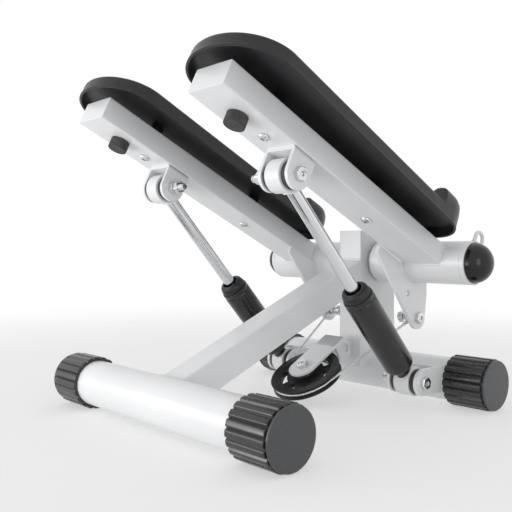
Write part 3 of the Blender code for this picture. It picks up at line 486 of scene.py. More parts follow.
def evaluated(obj):
    """What an object shows, with its modifiers, as a bmesh."""
    graph = bpy.context.evaluated_depsgraph_get()
    mesh = bpy.data.meshes.new_from_object(obj.evaluated_get(graph))
    bm = bmesh.new()
    bm.from_mesh(mesh)
    bpy.data.meshes.remove(mesh)
    return bm


def curve_solid(curve):
    """A curve's own solid as a bmesh."""
    holder = linked("curve_holder", curve)
    bm = evaluated(holder)
    bpy.data.objects.remove(holder)
    bpy.data.curves.remove(curve)
    return cleaned(bm)


def plate(outline, thickness, place, holes=(), edge=None):
    """A flat outline with holes and softly rounded edges, centred on its own Z = 0."""
    edge = detail().edge if edge is None else edge
    curve = bpy.data.curves.new("plate_outline", "CURVE")
    curve.dimensions = "2D"
    curve.fill_mode = "BOTH"
    curve.extrude = thickness / 2 - edge
    curve.bevel_depth = edge
    curve.bevel_resolution = 1
    curve.offset = -edge
    for loop in (outline, *holes):
        spline = curve.splines.new("POLY")
        spline.points.add(len(loop) - 1)
        for point, (x, y) in zip(spline.points, loop):
            point.co = (x, y, 0, 1)
        spline.use_cyclic_u = True
    return moved(curve_solid(curve), place)


def rod(points, radius, cyclic=False, round_steps=2, swell=None):
    """A round wire or bead along points. swell gives each point's share of the radius."""
    curve = bpy.data.curves.new("rod_path", "CURVE")
    curve.dimensions = "3D"
    curve.bevel_depth = radius
    curve.bevel_resolution = round_steps
    curve.use_fill_caps = not cyclic
    spline = curve.splines.new("POLY")
    spline.points.add(len(points) - 1)
    for i, (point, at) in enumerate(zip(spline.points, points)):
        point.co = (*at, 1)
        point.radius = swell(i) if swell else 1.0
    spline.use_cyclic_u = cyclic
    return curve_solid(curve)


def block(low, high, edge, place=HERE, segments=2):
    """A box between two corners with rounded edges."""
    low, high = Vector(low), Vector(high)
    bm = bmesh.new()
    size = Matrix.Diagonal((*(high - low), 1))
    bmesh.ops.create_cube(bm, size=1.0, matrix=offset(*(low + high) / 2) @ size)
    soften(bm, bm.edges[:], edge, segments)
    return moved(bm, place)


def gather(parts):
    """Several shapes as one, emptied into the first."""
    whole = parts[0]
    for part in parts[1:]:
        mesh = mesh_from("gathered", part)
        whole.from_mesh(mesh)
        bpy.data.meshes.remove(mesh)
    return whole


def carve(bm, *tools, how="DIFFERENCE"):
    """Cuts each tool shape out of a shape, or keeps what they share, and returns the result."""
    holders = [linked("carving", mesh_from("carving", shape)) for shape in (bm, *tools)]
    for tool in holders[1:]:
        step = holders[0].modifiers.new("cut", "BOOLEAN")
        step.operation = how
        step.solver = "EXACT"
        step.object = tool
    result = evaluated(holders[0])
    for holder in holders:
        bpy.data.meshes.remove(holder.data)
    return result


def prism(sides, radius, depth, place):
    """A regular prism about its own Z, centred on its place."""
    bm = bmesh.new()
    bmesh.ops.create_cone(bm, cap_ends=True, segments=sides, radius1=radius, radius2=radius, depth=depth,
                          matrix=place)
    return bm


def drill(radius, depth, place):
    return prism(40, radius, depth, place)


def ring_profile(outer, inner, half, outer_round, inner_round):
    """A flat ring's section for the lathe, with rounded edges."""
    return [(outer, half, outer_round), (outer, -half, outer_round), (inner, -half, inner_round),
            (inner, half, inner_round)]


# Turns a plate so that its thickness lies along X and its outline is in (Y, Z)
FACING_X = Matrix(((0, 0, 1, 0), (1, 0, 0, 0), (0, 1, 0, 0), (0, 0, 0, 1)))


def piece(name, bm, finish, body, replaces=(), sharp=35, weighted=True):
    """Finishes a shape as a named piece, which may ride on a body and stand for solids."""
    if not bm.faces:
        raise RuntimeError(name + " came out empty")
    mesh = mesh_from(name, bm)
    mesh.shade_smooth()
    mesh.set_sharp_from_angle(angle=math.radians(sharp))
    mesh.materials.append(finish_of(finish))
    obj = linked(name, mesh)
    if weighted:
        step = obj.modifiers.new("even_normals", "WEIGHTED_NORMAL")
        step.keep_sharp = True
    if body:
        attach(obj, body)
    if replaces:
        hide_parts(*replaces)
    return obj


def stand_in(name, bm, finish, body, **how):
    """A piece that stands for the solid of the same name."""
    return piece("visual_" + name, bm, finish, body, [name], **how)


def keep_node(name, finish):
    """A solid whose shape is right stays, with a better finish."""
    obj = NODES[name]
    obj.data.materials.clear()
    obj.data.materials.append(finish_of(finish))


# Frame
def cross_tubes():
    half, inner = CAP_FACE_X - 0.0055, STAB_R - STAB_WALL
    for place, y in CROSS_TUBES:
        profile = [(STAB_R, half), (STAB_R, -half), (inner, -half), (inner, half)]
        bm = lathe(profile, 96, offset(0, y, STAB_Z) @ out_x(1))
        stand_in(place + "_stabiliser_tube", bm, "powder_coat", "base")


def end_caps():
    for place, y in CROSS_TUBES:
        for side in SIDES:
            ribbed_cap(place, side, y)


def ribbed_cap(place, side, y):
    """A cap with round-topped ribs, a groove behind its flat disc and a scalloped mouth."""
    bore, disc, groove, floor = STAB_R + GAP, CAP_R - 0.0012, CAP_R - 0.0027, CAP_LENGTH - 0.004
    profile = [(0, floor), (bore, floor), (bore, 0.0), (CAP_R - 0.0004, 0.0, 0.0003)]
    profile += [(CAP_R, 0.0008 + (CAP_LENGTH - 0.0058) * i / 8) for i in range(9)]
    face = [(CAP_R - 0.0007, 0.0040), (groove, 0.0036, 0.0003), (groove, 0.0026, 0.0003),
            (disc - 0.0002, 0.0020, 0.0003), (disc, 0.0006, 0.0005), (disc - 0.0007, 0, 0.0005), (0.012, 0),
            (0, 0)]
    profile += [(radius, CAP_LENGTH - back, *bend) for radius, back, *bend in face]
    bm = lathe(profile, CAP_RIBS * 14, corner_steps=3)
    rib_inner, rib_end = CAP_R - 0.0009, CAP_LENGTH - 0.0038
    crown, flat = 0.14, 0.56
    for vert in bm.verts:
        reach = math.hypot(vert.co.x, vert.co.y)
        if reach < rib_inner or vert.co.z > rib_end:
            continue
        share = math.atan2(vert.co.y, vert.co.x) / math.tau * CAP_RIBS
        across = abs(share - round(share)) * 2
        valley = max(0.0, (across - flat) / (1 - flat)) ** 1.2
        sink = detail().rib_depth * min(1.0, crown * across ** 2 + valley)
        vert.co.x *= (reach - sink) / reach
        vert.co.y *= (reach - sink) / reach
    root = offset(side * (CAP_FACE_X - CAP_LENGTH), y, STAB_Z)
    name = "%s_%s_end_cap" % (place, word(side))
    return stand_in(name, moved(bm, root @ out_x(side)), "cap_plastic", "base", sharp=42)


def box_outline(width, height, radius):
    w, h = width / 2, height / 2
    return rounded([(w, h, radius), (-w, h, radius), (-w, -h, radius), (w, -h, radius)], True, 5)


def bar(width, height, start, end, place):
    """A box tube with rounded corners, from start to end along its own Y."""
    stand = offset(0, (start + end) / 2, 0) @ turn_x(math.pi / 2)
    return plate(box_outline(width, height, detail().tube_corner), end - start, place @ stand,
                 edge=0.0006)


def main_beam():
    """The beam from inside the near tube, cut upright just short of the post."""
    start, spare = 0.012, 0.012
    reach = (POST_FRONT - NEAR_Y - 0.0004) / math.cos(BEAM_ANGLE)
    bm = bar(*BEAM, start, reach + spare, beam_place())
    cut = bmesh.ops.bisect_plane(bm, geom=bm.verts[:] + bm.edges[:] + bm.faces[:], dist=1e-6,
                                 plane_co=(0, POST_FRONT - 0.0002, 0), plane_no=(0, 1, 0),
                                 clear_outer=True)
    rim = [e for e in cut["geom_cut"] if isinstance(e, bmesh.types.BMEdge)]
    bmesh.ops.edgeloop_fill(bm, edges=rim)
    return stand_in("main_beam", bm, "powder_coat", "base")


def pivot_post():
    """The closed post, which stands down over the far tube."""
    low = STAB_Z + 0.004
    outline = box_outline(*POST, detail().tube_corner)
    bm = plate(outline, POST_TOP - low, offset(0, FAR_Y, (low + POST_TOP) / 2), edge=0.0008)
    return stand_in("pivot_post", bm, "powder_coat", "base")


def ripple(i):
    """The swell of a weld bead at its i-th point."""
    return 1.0 + 0.10 * math.sin(i * 2.1) + 0.05 * math.sin(i * 0.7)


def weld(name, points, body, radius=None, cyclic=False, swell=ripple):
    """A painted weld bead with the ripple of its passes."""
    bm = rod(points, radius or detail().weld, cyclic, 2, swell)
    return piece("weld_" + name, bm, "powder_coat", body, weighted=False, sharp=80)


def between(a, b, step=0.0016):
    """Points along a straight line, a step apart."""
    a, b = Vector(a), Vector(b)
    count = max(2, round((b - a).length / step))
    return [a.lerp(b, i / count) for i in range(count + 1)]


def perimeter(outline, step=0.0016):
    """Points round a closed outline, about a step apart."""
    points = []
    for a, b in zip(outline, outline[1:] + outline[:1]):
        points += [tuple(p) for p in between((*a, 0), (*b, 0), step)[:-1]]
    return [(x, y) for x, y, _ in points]


def frame_welds():
    """Beads where the beam meets the near tube and the post, and the post meets the far tube."""
    corner_r, reach = detail().tube_corner, STAB_R - BEAD_SINK
    run = (POST_FRONT - NEAR_Y) / math.cos(BEAM_ANGLE)
    near = [(x, math.sqrt(reach ** 2 - h ** 2), h) for x, h in perimeter(box_outline(*BEAM, corner_r))]
    top = [(x, run + h * math.tan(BEAM_ANGLE), h)
           for x, h in perimeter(box_outline(BEAM[0] - 0.001, BEAM[1], corner_r))]
    far = [(x, y, max(math.sqrt(max(0.0, reach ** 2 - y ** 2)), 0.0045))
           for x, y in perimeter(box_outline(POST[0], 2 * STAB_R * 0.985, 0.004))]
    beads = (("beam_to_near_tube", beam_place(), near), ("beam_to_post", beam_place(), top),
             ("post_to_far_tube", offset(0, FAR_Y, STAB_Z), far))
    for name, place, points in beads:
        weld(name, [place @ Vector(point) for point in points], "base", cyclic=True)


# Bolts, nuts and screws
HEX = 0.013
HEX_TURN = 0.3
BOLT_R = 0.004
HEAD_HEIGHT = 0.0050
NUT_HEIGHT = 0.0065
THREAD_PITCH = 0.00125


def hex_prism(low, high, place, both_ends=True):
    """A hexagon with its corners turned off, as a nut has at both ends and a bolt head at one."""
    middle = (low + high) / 2
    place_on_axis = offset(0, 0, middle) @ Matrix.Rotation(HEX_TURN, 4, "Z")
    bm = prism(6, HEX / math.sqrt(3), high - low, place_on_axis)
    ends = [v for v in bm.verts if both_ends or v.co.z > middle]
    soften(bm, [e for e in bm.edges if all(v in ends for v in e.verts)], 0.0009, 3, 0.6)
    return moved(bm, place)


def threaded_tip(low, high, place):
    """A bolt's tail with a rounded ring for each thread turn and a chamfered end."""
    turns = max(1, int((high - low - 0.001) / THREAD_PITCH))
    profile = [(0, low), (BOLT_R - 0.0009, low, 0.0002), (BOLT_R - 0.0002, low + 0.0008)]
    for i in range(turns):
        at = low + 0.0010 + i * THREAD_PITCH
        profile += [(BOLT_R, at, 0.0001), (BOLT_R - 0.0007, at + THREAD_PITCH * 0.5, 0.0001)]
    profile += [(BOLT_R, high), (0, high)]
    return lathe(profile, 32, place, 2)


def hex_bolt(name, body, place, grip, tail, lock_nut=None):
    """Head on its origin, nut a grip below, a tail with its thread showing and maybe a lock nut."""
    head = hex_prism(0, HEAD_HEIGHT, place, False)
    head = carve(head, drill(0.0030, 0.007, place @ offset(0, 0, 0.0061)))
    dish = [(0, 0.0028), (0.0016, 0.0028), (0.0022, HEAD_HEIGHT, 0.0003), (0.0027, 0.0053, 0.0003),
            (0.0052, 0.0048), (0.0052, 0.0024), (0, 0.0024)]
    flange = [(0, 0.0005), (0.0061, 0.0005, 0.0002), (0.0061, -0.0001), (0, -0.0001)]
    shank = [(0, 0.001), (BOLT_R, 0.001), (BOLT_R, -grip - 0.002), (0, -grip - 0.002)]
    low = -grip - NUT_HEIGHT
    collar = [(0, low - 0.0004), (0.0050, low - 0.0004, 0.0002), (0.0056, low + 0.0005), (0, low + 0.0005)]
    parts = [head, lathe(dish, 40, place), lathe(flange, 40, place), lathe(shank, 32, place),
             hex_prism(low, -grip, place), lathe(collar, 40, place),
             threaded_tip(low - tail, low + 0.0005, place)]
    if lock_nut:
        parts.append(hex_prism(-lock_nut - NUT_HEIGHT, -lock_nut, place))
    return stand_in(name, gather(parts), "zinc_plate", body, sharp=40)


def cross_screw(side, end):
    """A pan-head screw seen from below, with a cross recess, its shank in the arm."""
    under, low = -ARM_SEAT, -ARM_SEAT - 0.0032
    profile = [(0, 0.0200), (0.0024, 0.0200), (0.0024, under), (0.0058, under, 0.0002),
               (0.0057, under - 0.0016, 0.0010), (0.0034, low, 0.0014), (0.0016, low), (0.0006, low),
               (0, low)]
    wings = []
    for turn in (0.5, 0.5 + math.pi / 2):
        slot = offset(0, 0, low + 0.0009) @ Matrix.Rotation(turn, 4, "Z")
        wings.append(block((-0.0030, -0.00062, -0.0013), (0.0030, 0.00062, 0.0010), 0.0002, slot, 1))
    bm = moved(carve(lathe(profile, 48), *wings), arm_place(side, 0, SCREWS[end]))
    name = "%s_%s_screw" % (word(side), end)
    return stand_in(name, bm, "zinc_plate", body_of(side), sharp=40)


def plate_screws(side):
    for end in SCREWS:
        cross_screw(side, end)


# Pedals
def axle():
    keep_node("pivot_axle", "zinc_plate")
    keep_node("pivot_axle_nut", "zinc_plate")


def bushes(side):
    """The inner bush with its collar beside the post, and the outer bush as the solid has it."""
    low, seat, outer, collar, bore = POST[0] / 2 + 0.0006, PIVOT_ENDS[0], 0.0224, 0.0215, 0.0103
    profile = [(outer, seat + 0.022), (outer, seat - GAP), (collar, seat - GAP), (collar, low, 0.0006),
               (bore, low, 0.0004), (bore, seat + 0.022)]
    bm = lathe(profile, 72, pivot_place(side))
    stand_in(word(side) + "_inner_bush", bm, "bush_nylon", body_of(side))
    keep_node(word(side) + "_outer_bush", "bush_nylon")


def pivot_tube(side):
    """The tube with a fine seam and two punch marks near its outer end."""
    low, high = PIVOT_ENDS
    seam, groove, inner = high - 0.0056, PIVOT_R - 0.0004, PIVOT_R - 0.0025
    profile = [(PIVOT_R, high, 0.0004), (PIVOT_R, seam + 0.0003), (groove, seam + 0.0001),
               (groove, seam - 0.0001), (PIVOT_R, seam - 0.0003), (PIVOT_R, low, 0.0004),
               (inner, low, 0.0003), (inner, high, 0.0003)]
    marks = []
    for angle in (173, 218):
        spot = turn_x(math.radians(angle - 90)) @ offset(side * seam, 0, PIVOT_R)
        marks.append(drill(0.0009, 0.0016, offset(*PIVOT) @ spot))
    bm = carve(lathe(profile, 96, pivot_place(side)), *marks)
    return stand_in(word(side) + "_pivot_tube", bm, "powder_coat", body_of(side))


def end_plug(side):
    """The glossy dome and its thin flange on the tube's end."""
    seat = PIVOT_ENDS[1] + GAP
    head, rise, stem = PIVOT_R - 0.0022, 0.0203, 0.0223
    profile = [(0, seat + rise)]
    for i in range(1, 20):
        a = i / 20 * math.pi / 2
        profile.append((head * math.sin(a), seat + rise * math.cos(a)))
    profile += [(head + 0.0003, seat + 0.0012, 0.0003), (head + 0.0003, seat + 0.0001, 0.0002),
                (stem, seat), (stem, seat - 0.006), (0, seat - 0.006)]
    bm = lathe(profile, 96, pivot_place(side))
    return stand_in(word(side) + "_end_plug", bm, "plug_gloss", body_of(side))


def circle(radius, count):
    """Points round a circle, without the first one again."""
    return [(radius * math.cos(math.tau * i / count), radius * math.sin(math.tau * i / count))
            for i in range(count)]


def band_eye(side):
    """A bent wire eye, welded at both feet."""
    half, wire = 0.0078, 0.0022
    foot, top = PIVOT_R - 0.0006, PIVOT_R + 0.0155 - half - wire
    view = [(-half, foot), (-half, (foot + top) / 2)] + arc(0, top, half, 180, 0, 28)
    view += [(half, (foot + top) / 2), (half, foot)]
    place = offset(side * BAND_EYE_X, PIVOT.y, PIVOT.z) @ turn_x(-BAND_EYE_TILT)
    bm = moved(rod([(0, y, z) for y, z in view], wire, round_steps=5), place)
    stand_in(word(side) + "_band_eye", bm, "powder_coat", body_of(side), weighted=False)
    for end, y in (("rear", -half), ("front", half)):
        ring = [place @ Vector((a, y + b, PIVOT_R - 0.0012)) for a, b in circle(0.0021, 10)]
        weld("%s_eye_%s" % (word(side), end), ring, body_of(side), 0.0010, True)


def pedal_arm(side):
    """The box-tube arm, with the bead round its root on the pivot tube."""
    name = word(side) + "_pedal_arm"
    start = math.sqrt(PIVOT_R ** 2 - (ARM[1] / 2) ** 2) - 0.001
    stand_in(name, bar(*ARM, -ARM_LENGTH, -start, arm_place(side)), "powder_coat", body_of(side))
    bead_r = PIVOT_R - BEAD_SINK
    bead = [arm_place(side) @ Vector((x, -math.sqrt(bead_r ** 2 - h ** 2), h))
            for x, h in perimeter(box_outline(*ARM, detail().tube_corner))]
    weld(name, bead, body_of(side), cyclic=True)


def lever_outline():
    """A straight front edge down to a round end about the bolt, and an upright back edge."""
    by, bz = LEVER_BOLT
    fy, fz = LEVER_FRONT
    end_r, back = 0.0143, 0.0235
    foot = Vector((0, fy, fz)).dot(ALONG)
    root = foot * ALONG - ARM_SEAT * UP
    reach = math.hypot(by - fy, bz - fz)
    heading = math.degrees(math.atan2(bz - fz, by - fy))
    turn = heading - 90 - math.degrees(math.asin(end_r / reach))
    inner = 0.021 * ALONG - ARM_SEAT * UP
    outline = [(root.y, root.z), LEVER_FRONT]
    outline += arc(by, bz, end_r, turn, 0, 24)
    return outline + [(back, bz * 0.62), (back, -0.008), (inner.y, inner.z)]


def lever_plate(side):
    """The cable lever, with its bolt hole and the spare hole above it."""
    holes = (arc(*LEVER_BOLT, BOLT_HOLE_R, 0, 352, 44), arc(*LEVER_HOLE, LEVER_HOLE_R, 0, 350, 35))
    place = offset(side * (LEVER_X + LEVER_THICK / 2), PIVOT.y, PIVOT.z) @ FACING_X
    bm = plate(lever_outline(), LEVER_THICK, place, holes)
    stand_in(word(side) + "_lever_plate", bm, "powder_coat", body_of(side))
    for face, x in (("outer", LEVER_X + LEVER_THICK), ("inner", LEVER_X)):
        bead = [PIVOT + Vector((side * x, y, z)) for y, z in arc(0, 0, PIVOT_R + 0.0002, -163, -28, 39)]
        weld("%s_lever_%s" % (word(side), face), bead, body_of(side), 0.0013)


# Footplates
PLATE = {"start": 0.034, "end": 0.396, "half": 0.0565, "half_free": 0.0625, "nose": 0.047,
         "corner": 0.040, "under": 0.0150, "top": 0.0288, "skin": 0.0032, "deck": 0.0266}
TOE = {"height": 0.0190, "start": 0.0938, "full": 0.0902}
SIDE_START = PLATE["start"] + PLATE["corner"]
SIDE_END = PLATE["end"] - PLATE["nose"]


def plate_half(along):
    share = (along - SIDE_START) / (SIDE_END - SIDE_START)
    return PLATE["half"] + (PLATE["half_free"] - PLATE["half"]) * share


def plate_stations():
    """Stations down one side of the footplate, from the free end to the middle of the toe end."""
    made = [("nose", 90 * i / 20) for i in range(20)]
    made += [("side", SIDE_END - (SIDE_END - TOE["start"]) * i / 12) for i in range(12)]
    made += [("side", TOE["start"] - i * (TOE["start"] - TOE["full"]) / 12) for i in range(13)]
    made += [("side", TOE["full"] - i * (TOE["full"] - SIDE_START) / 4) for i in range(1, 4)]
    made += [("corner", 90 * i / 18) for i in range(19)]
    return made + [("middle", 0)]


def plate_place(kind, value, inset):
    """A station's place, as (across, along), moved in from the outline by an inset."""
    turn = math.radians(value)
    if kind == "nose":
        nose = PLATE["nose"] - inset
        return (PLATE["half_free"] - inset) * math.sin(turn), SIDE_END + nose * math.cos(turn)
    if kind == "side":
        return plate_half(value) - inset, value
    if kind == "middle":
        return 0, PLATE["start"] + inset
    radius = PLATE["corner"] - inset
    across = PLATE["half"] - PLATE["corner"] + radius * math.cos(turn)
    return across, SIDE_START - radius * math.sin(turn)


def plate_ring(bm, inset, height, roll=0.0, lift=0.0):
    """One closed ring of the footplate. At the toe end it moves in by roll and up by lift."""
    half = []
    for kind, value in plate_stations():
        along = plate_place(kind, value, 0)[1]
        share = max(0.0, min(1.0, (TOE["start"] - along) / (TOE["start"] - TOE["full"])))
        ease = share * share * (3 - 2 * share)
        x, along = plate_place(kind, value, inset + roll * ease)
        half.append((x, -along, height + lift * ease))
    whole = half + [(-x, y, z) for x, y, z in reversed(half[1:-1])]
    verts = [bm.verts.new(point) for point in whole]
    return [bm.edges.new((a, b)) for a, b in zip(verts, verts[1:] + verts[:1])]


def footplate(side):
    """The moulded tray: skirt with a turned lower rim, lip, rolled toe stop, tread bars and bosses."""
    top, under, deck, skin = PLATE["top"], PLATE["under"], PLATE["deck"], PLATE["skin"]
    h = TOE["height"]
    bm = bmesh.new()
    rings = [
        (0.0036, deck - skin), (skin, deck - skin - 0.0008), (0.0028, under + 0.0006),
        (0.0022, under), (0.0008, under), (0.0000, under + 0.0005),
        (0.0000, under + 0.0022), (0.0004, under + 0.0028),
        (0.0004, top - 0.0030, 0.0002, h * 0.40), (0.0006, top - 0.0016, 0.0012, h * 0.72),
        (0.0011, top - 0.0007, 0.0034, h * 0.92), (0.0018, top - 0.0002, 0.0068, h * 0.99),
        (0.0028, top, 0.0102, h), (0.0038, top - 0.0002, 0.0136, h * 0.97),
        (0.0045, top - 0.0007, 0.0166, h * 0.86), (0.0050, top - 0.0013, 0.0186, h * 0.62),
        (0.0054, deck + 0.0004, 0.0196, h * 0.22), (0.0062, deck, 0.0204, 0),
    ]
    loops = [plate_ring(bm, *ring) for ring in rings]
    for a, b in zip(loops, loops[1:]):
        bmesh.ops.bridge_loops(bm, edges=a + b)
    bmesh.ops.edgeloop_fill(bm, edges=loops[0])
    bmesh.ops.edgeloop_fill(bm, edges=loops[-1])
    bmesh.ops.recalc_face_normals(bm, faces=bm.faces)
    whole = gather([bm] + tread_bars(deck) + plate_bosses(deck))
    bm = moved(whole, arm_place(side, SHIFT))
    return stand_in(word(side) + "_footplate", bm, "moulded_plastic", body_of(side), sharp=38)


def tread_bars(deck):
    """Low rounded bars across the deck, shorter where its corners round off."""
    sizes = detail()
    bars = []
    first, last, half_bar, margin = 0.112, PLATE["end"] - 0.022, 0.0011, 0.0125
    for i in range(int((last - first) / sizes.tread_pitch) + 1):
        along = first + i * sizes.tread_pitch
        nose = max(0.0, along - SIDE_END) / PLATE["nose"]
        reach = plate_half(min(along, SIDE_END)) * math.sqrt(max(0.0, 1 - nose ** 2)) - margin
        if reach < 0.010:
            continue
        low = (-reach, -along - half_bar, deck - 0.0008)
        bars.append(block(low, (reach, -along + half_bar, deck + sizes.tread_height), 0.0007))
    return bars


def plate_bosses(deck):
    """Screw bosses that stand on the arm."""
    profile = [(0, deck - 0.001), (0.0075, deck - 0.001), (0.0072, ARM_SEAT, 0.0003), (0, ARM_SEAT)]
    return [lathe(profile, 40, offset(-SHIFT, -along, 0)) for along in SCREWS.values()]


def bumper(side):
    """A rubber buffer with a softly rounded rim."""
    under, low, radius = -ARM_SEAT, -ARM_SEAT - 0.0112, 0.0105
    profile = [(0, under), (radius, under, 0.0006), (radius, low + 0.004), (radius - 0.0001, low, 0.0008),
               (0.0040, low), (0, low)]
    bm = lathe(profile, 56, arm_place(side, 0, BUMPER_ALONG))
    return stand_in(word(side) + "_bumper", bm, "moulded_rubber", body_of(side))


# Brackets bent from strip
def bracket(place, height, back):
    """A strip bent to a U: two round-ended ears with bolt holes, and a web with rounded bends."""
    half, thick, w, bend = 0.015, 0.004, BRACKET_WIDTH / 2, 0.0044
    low = -half - 0.002
    outer = [(w, height, bend), (-w, height, bend)] if back <= height else [(w, back), (-w, back)]
    section = outer + [(-w, low), (-w + thick, low), (-w + thick, height - thick, 0.0012),
                       (w - thick, height - thick, 0.0012), (w - thick, low), (w, low)]
    strip = plate(rounded(section, True, 6), 2 * half + 0.004, turn_x(math.pi / 2), edge=0.0001)
    ear = [(half, back)] + arc(0, 0, half, 0, -180, 40) + [(-half, back)]
    shape = plate(ear, 2 * w + 0.004, FACING_X, edge=0.0001)
    bm = carve(strip, shape, how="INTERSECT")
    bm = carve(bm, drill(BOLT_HOLE_R, 0.06, out_x(1)))
    crease(bm, 0.0004)
    return moved(bm, place)


def crease(bm, size):
    """Rounds every sharp edge of a shape by a small size."""
    bmesh.ops.remove_doubles(bm, verts=bm.verts, dist=2e-5)
    sharp = [e for e in bm.edges if e.is_manifold and e.calc_face_angle(0) > math.radians(38)]
    soften(bm, sharp, size, clamp=True)


def upper_bracket(side):
    name = word(side) + "_upper_bracket"
    height, half, edge = EYE_DROP - ARM_SEAT, 0.0175, 0.0150
    place = arm_place(side, SHIFT, EYE_ALONG, -EYE_DROP)
    stand_in(name, bracket(place, height, height), "powder_coat", body_of(side))
    for end, y in (("front", edge), ("rear", -edge)):
        line = between((-half, y, height), (half, y, height))
        weld("%s_%s" % (name, end), [place @ point for point in line], body_of(side), 0.0008)


def lower_bracket(side):
    name = word(side) + "_lower_bracket"
    height = FAR_Y - LOWER_EYE.y - STAB_R - GAP
    x, rise = side * ARM_X + SHIFT, LOWER_EYE.z - STAB_Z
    place = offset(x, LOWER_EYE.y, LOWER_EYE.z) @ turn_x(-math.pi / 2)
    stand_in(name, bracket(place, height, height + 0.004), "powder_coat", "base")
    for end, edge in (("outer", BRACKET_WIDTH / 2), ("inner", -BRACKET_WIDTH / 2)):
        bead = []
        for i in range(26):
            z = -0.0135 + 0.027 * i / 25
            bead.append(Vector((x + edge, FAR_Y - math.sqrt(STAB_R ** 2 - (rise + z) ** 2), LOWER_EYE.z + z)))
        weld("%s_%s" % (name, end), bead, "base", 0.0013)


# Dampers
def damper_tube(side):
    """Black tube with a rolled mouth, a rounded shoulder and a neck down to its eye."""
    low, top, radius, bore, neck, foot = 0.0236, 0.1356, 0.0170, 0.0146, 0.0085, EYE_R - 0.0028
    roll = radius - 0.0007
    profile = [(bore, top - 0.004), (bore, top, 0.0004), (radius - 0.0006, top, 0.0006),
               (radius, top - 0.0030, 0.0008), (roll, top - 0.0044, 0.0005), (roll, top - 0.0056, 0.0005),
               (radius, top - 0.0070, 0.0008), (radius, low + 0.0040, 0.0030),
               (radius - 0.0050, low, 0.0030), (neck + 0.0006, low - 0.0008, 0.0012), (neck, foot),
               (0, foot), (0, top - 0.004)]
    bm = lathe(profile, 80, damper_place(side, "lower"), 6)
    return stand_in(word(side) + "_damper_cylinder", bm, "tube_lacquer", body_of(side, "damper_tube"))


def damper_gland(side):
    """Rounded collar round the rod, with a wiper lip."""
    top, seat, outer, spigot, bore = 0.1456, 0.1359, 0.0155, 0.0141, 0.0091
    profile = [(bore, top - 0.0012), (0.0094, top - 0.0002, 0.0003), (0.0112, top, 0.0004),
               (0.0118, top - 0.0010, 0.0005), (outer - 0.0016, top - 0.0016, 0.0014),
               (outer, top - 0.0062, 0.0020), (outer, seat, 0.0003), (spigot, seat),
               (spigot, seat - 0.009), (bore, seat - 0.009)]
    bm = lathe(profile, 72, damper_place(side, "lower"))
    return stand_in(word(side) + "_damper_gland", bm, "moulded_plastic", body_of(side, "damper_tube"))


def damper_rod(side):
    """The chromed rod with its piston, and the bead that holds it to the upper eye."""
    radius, piston, top, end = 0.007, 0.0124, -EYE_R + 0.0028, 0.0716 - DAMPER_LENGTH
    step = end + 0.012
    profile = [(0, top), (radius, top), (radius, step), (piston, step, 0.0004), (piston, end, 0.0004),
               (0, end)]
    place, body = damper_place(side, "upper"), body_of(side, "damper_piston")
    stand_in(word(side) + "_damper_rod", lathe(profile, 64, place), "hard_chrome", body)
    ring = [place @ Vector((x, y, -math.sqrt(max(0.0, EYE_R ** 2 - y ** 2)) - 0.0002))
            for x, y in circle(0.0088, 40)]
    weld(word(side) + "_rod_to_eye", ring, body, 0.0013, True, lambda i: 1 + 0.1 * math.sin(i * 2.1))


def damper_eye(side, end):
    """The ring at a damper's end, with its rubber bush and the bush's two flanges."""
    body = body_of(side, "damper_tube" if end == "lower" else "damper_piston")
    place = damper_place(side, end) @ out_x(1)
    name = "%s_%s_eye" % (word(side), end)
    ring = ring_profile(EYE_R, EYE_BORE, EYE_HALF, 0.0010, 0.0005)
    stand_in(name, lathe(ring, 80, place), "powder_coat", body)
    seat, flange, barrel, bore = EYE_HALF + GAP, 0.0140, EYE_BORE - 0.0004, 0.0044
    outer = seat + 0.0048
    bush = [(flange, outer, 0.0012), (flange, seat, 0.0008), (barrel, seat), (barrel, -seat),
            (flange, -seat, 0.0008), (flange, -outer, 0.0012), (bore, -outer, 0.0004),
            (bore, outer, 0.0004)]
    stand_in(name + "_bush", lathe(bush, 72, place), "moulded_rubber", body)


def damper_eyes(side):
    damper_eye(side, "lower")
    damper_eye(side, "upper")


# Cable drive
def pulley():
    """The grooved wheel: turned rim and hub, with five spokes between its windows."""
    half, groove, flange, web = 0.0055, CABLE_PATH_R - CABLE_R - GAP, 0.0428, 0.0029
    rim_in, rim_web, hub_web, boss, bore = 0.0335, 0.0302, 0.0232, 0.0090, 0.0043
    place = pulley_place()
    rim = [(rim_in, half, 0.0008), (flange, half, 0.0006), (flange, half - 0.0014, 0.0003),
           (groove, CABLE_R, 0.0006), (groove, -CABLE_R, 0.0006), (flange, -half + 0.0014, 0.0003),
           (flange, -half, 0.0006), (rim_in, -half, 0.0008), (rim_in - 0.0013, -web, 0.0008),
           (rim_web, -web), (rim_web, web), (rim_in - 0.0013, web, 0.0008)]
    hub = [(bore, 0.0090, 0.0004), (boss, 0.0090, 0.0008), (0.0120, web, 0.0012), (hub_web, web),
           (hub_web, -web), (0.0120, -web, 0.0012), (boss, -0.0064, 0.0008), (bore, -0.0064, 0.0004)]
    parts = [lathe(rim, 120, place), lathe(hub, 72, place)]
    spokes, half_spoke = 5, 11.5
    for i in range(spokes):
        middle = 360 / spokes * (i + 0.5)
        outline = arc(0, 0, rim_web + 0.0006, middle - half_spoke, middle + half_spoke, 8)
        outline += arc(0, 0, hub_web - 0.0006, middle + half_spoke, middle - half_spoke, 6)
        parts.append(plate(outline, 2 * web, place, edge=0.0004))
    return stand_in("pulley", gather(parts), "moulded_plastic", "pulley_wheel")


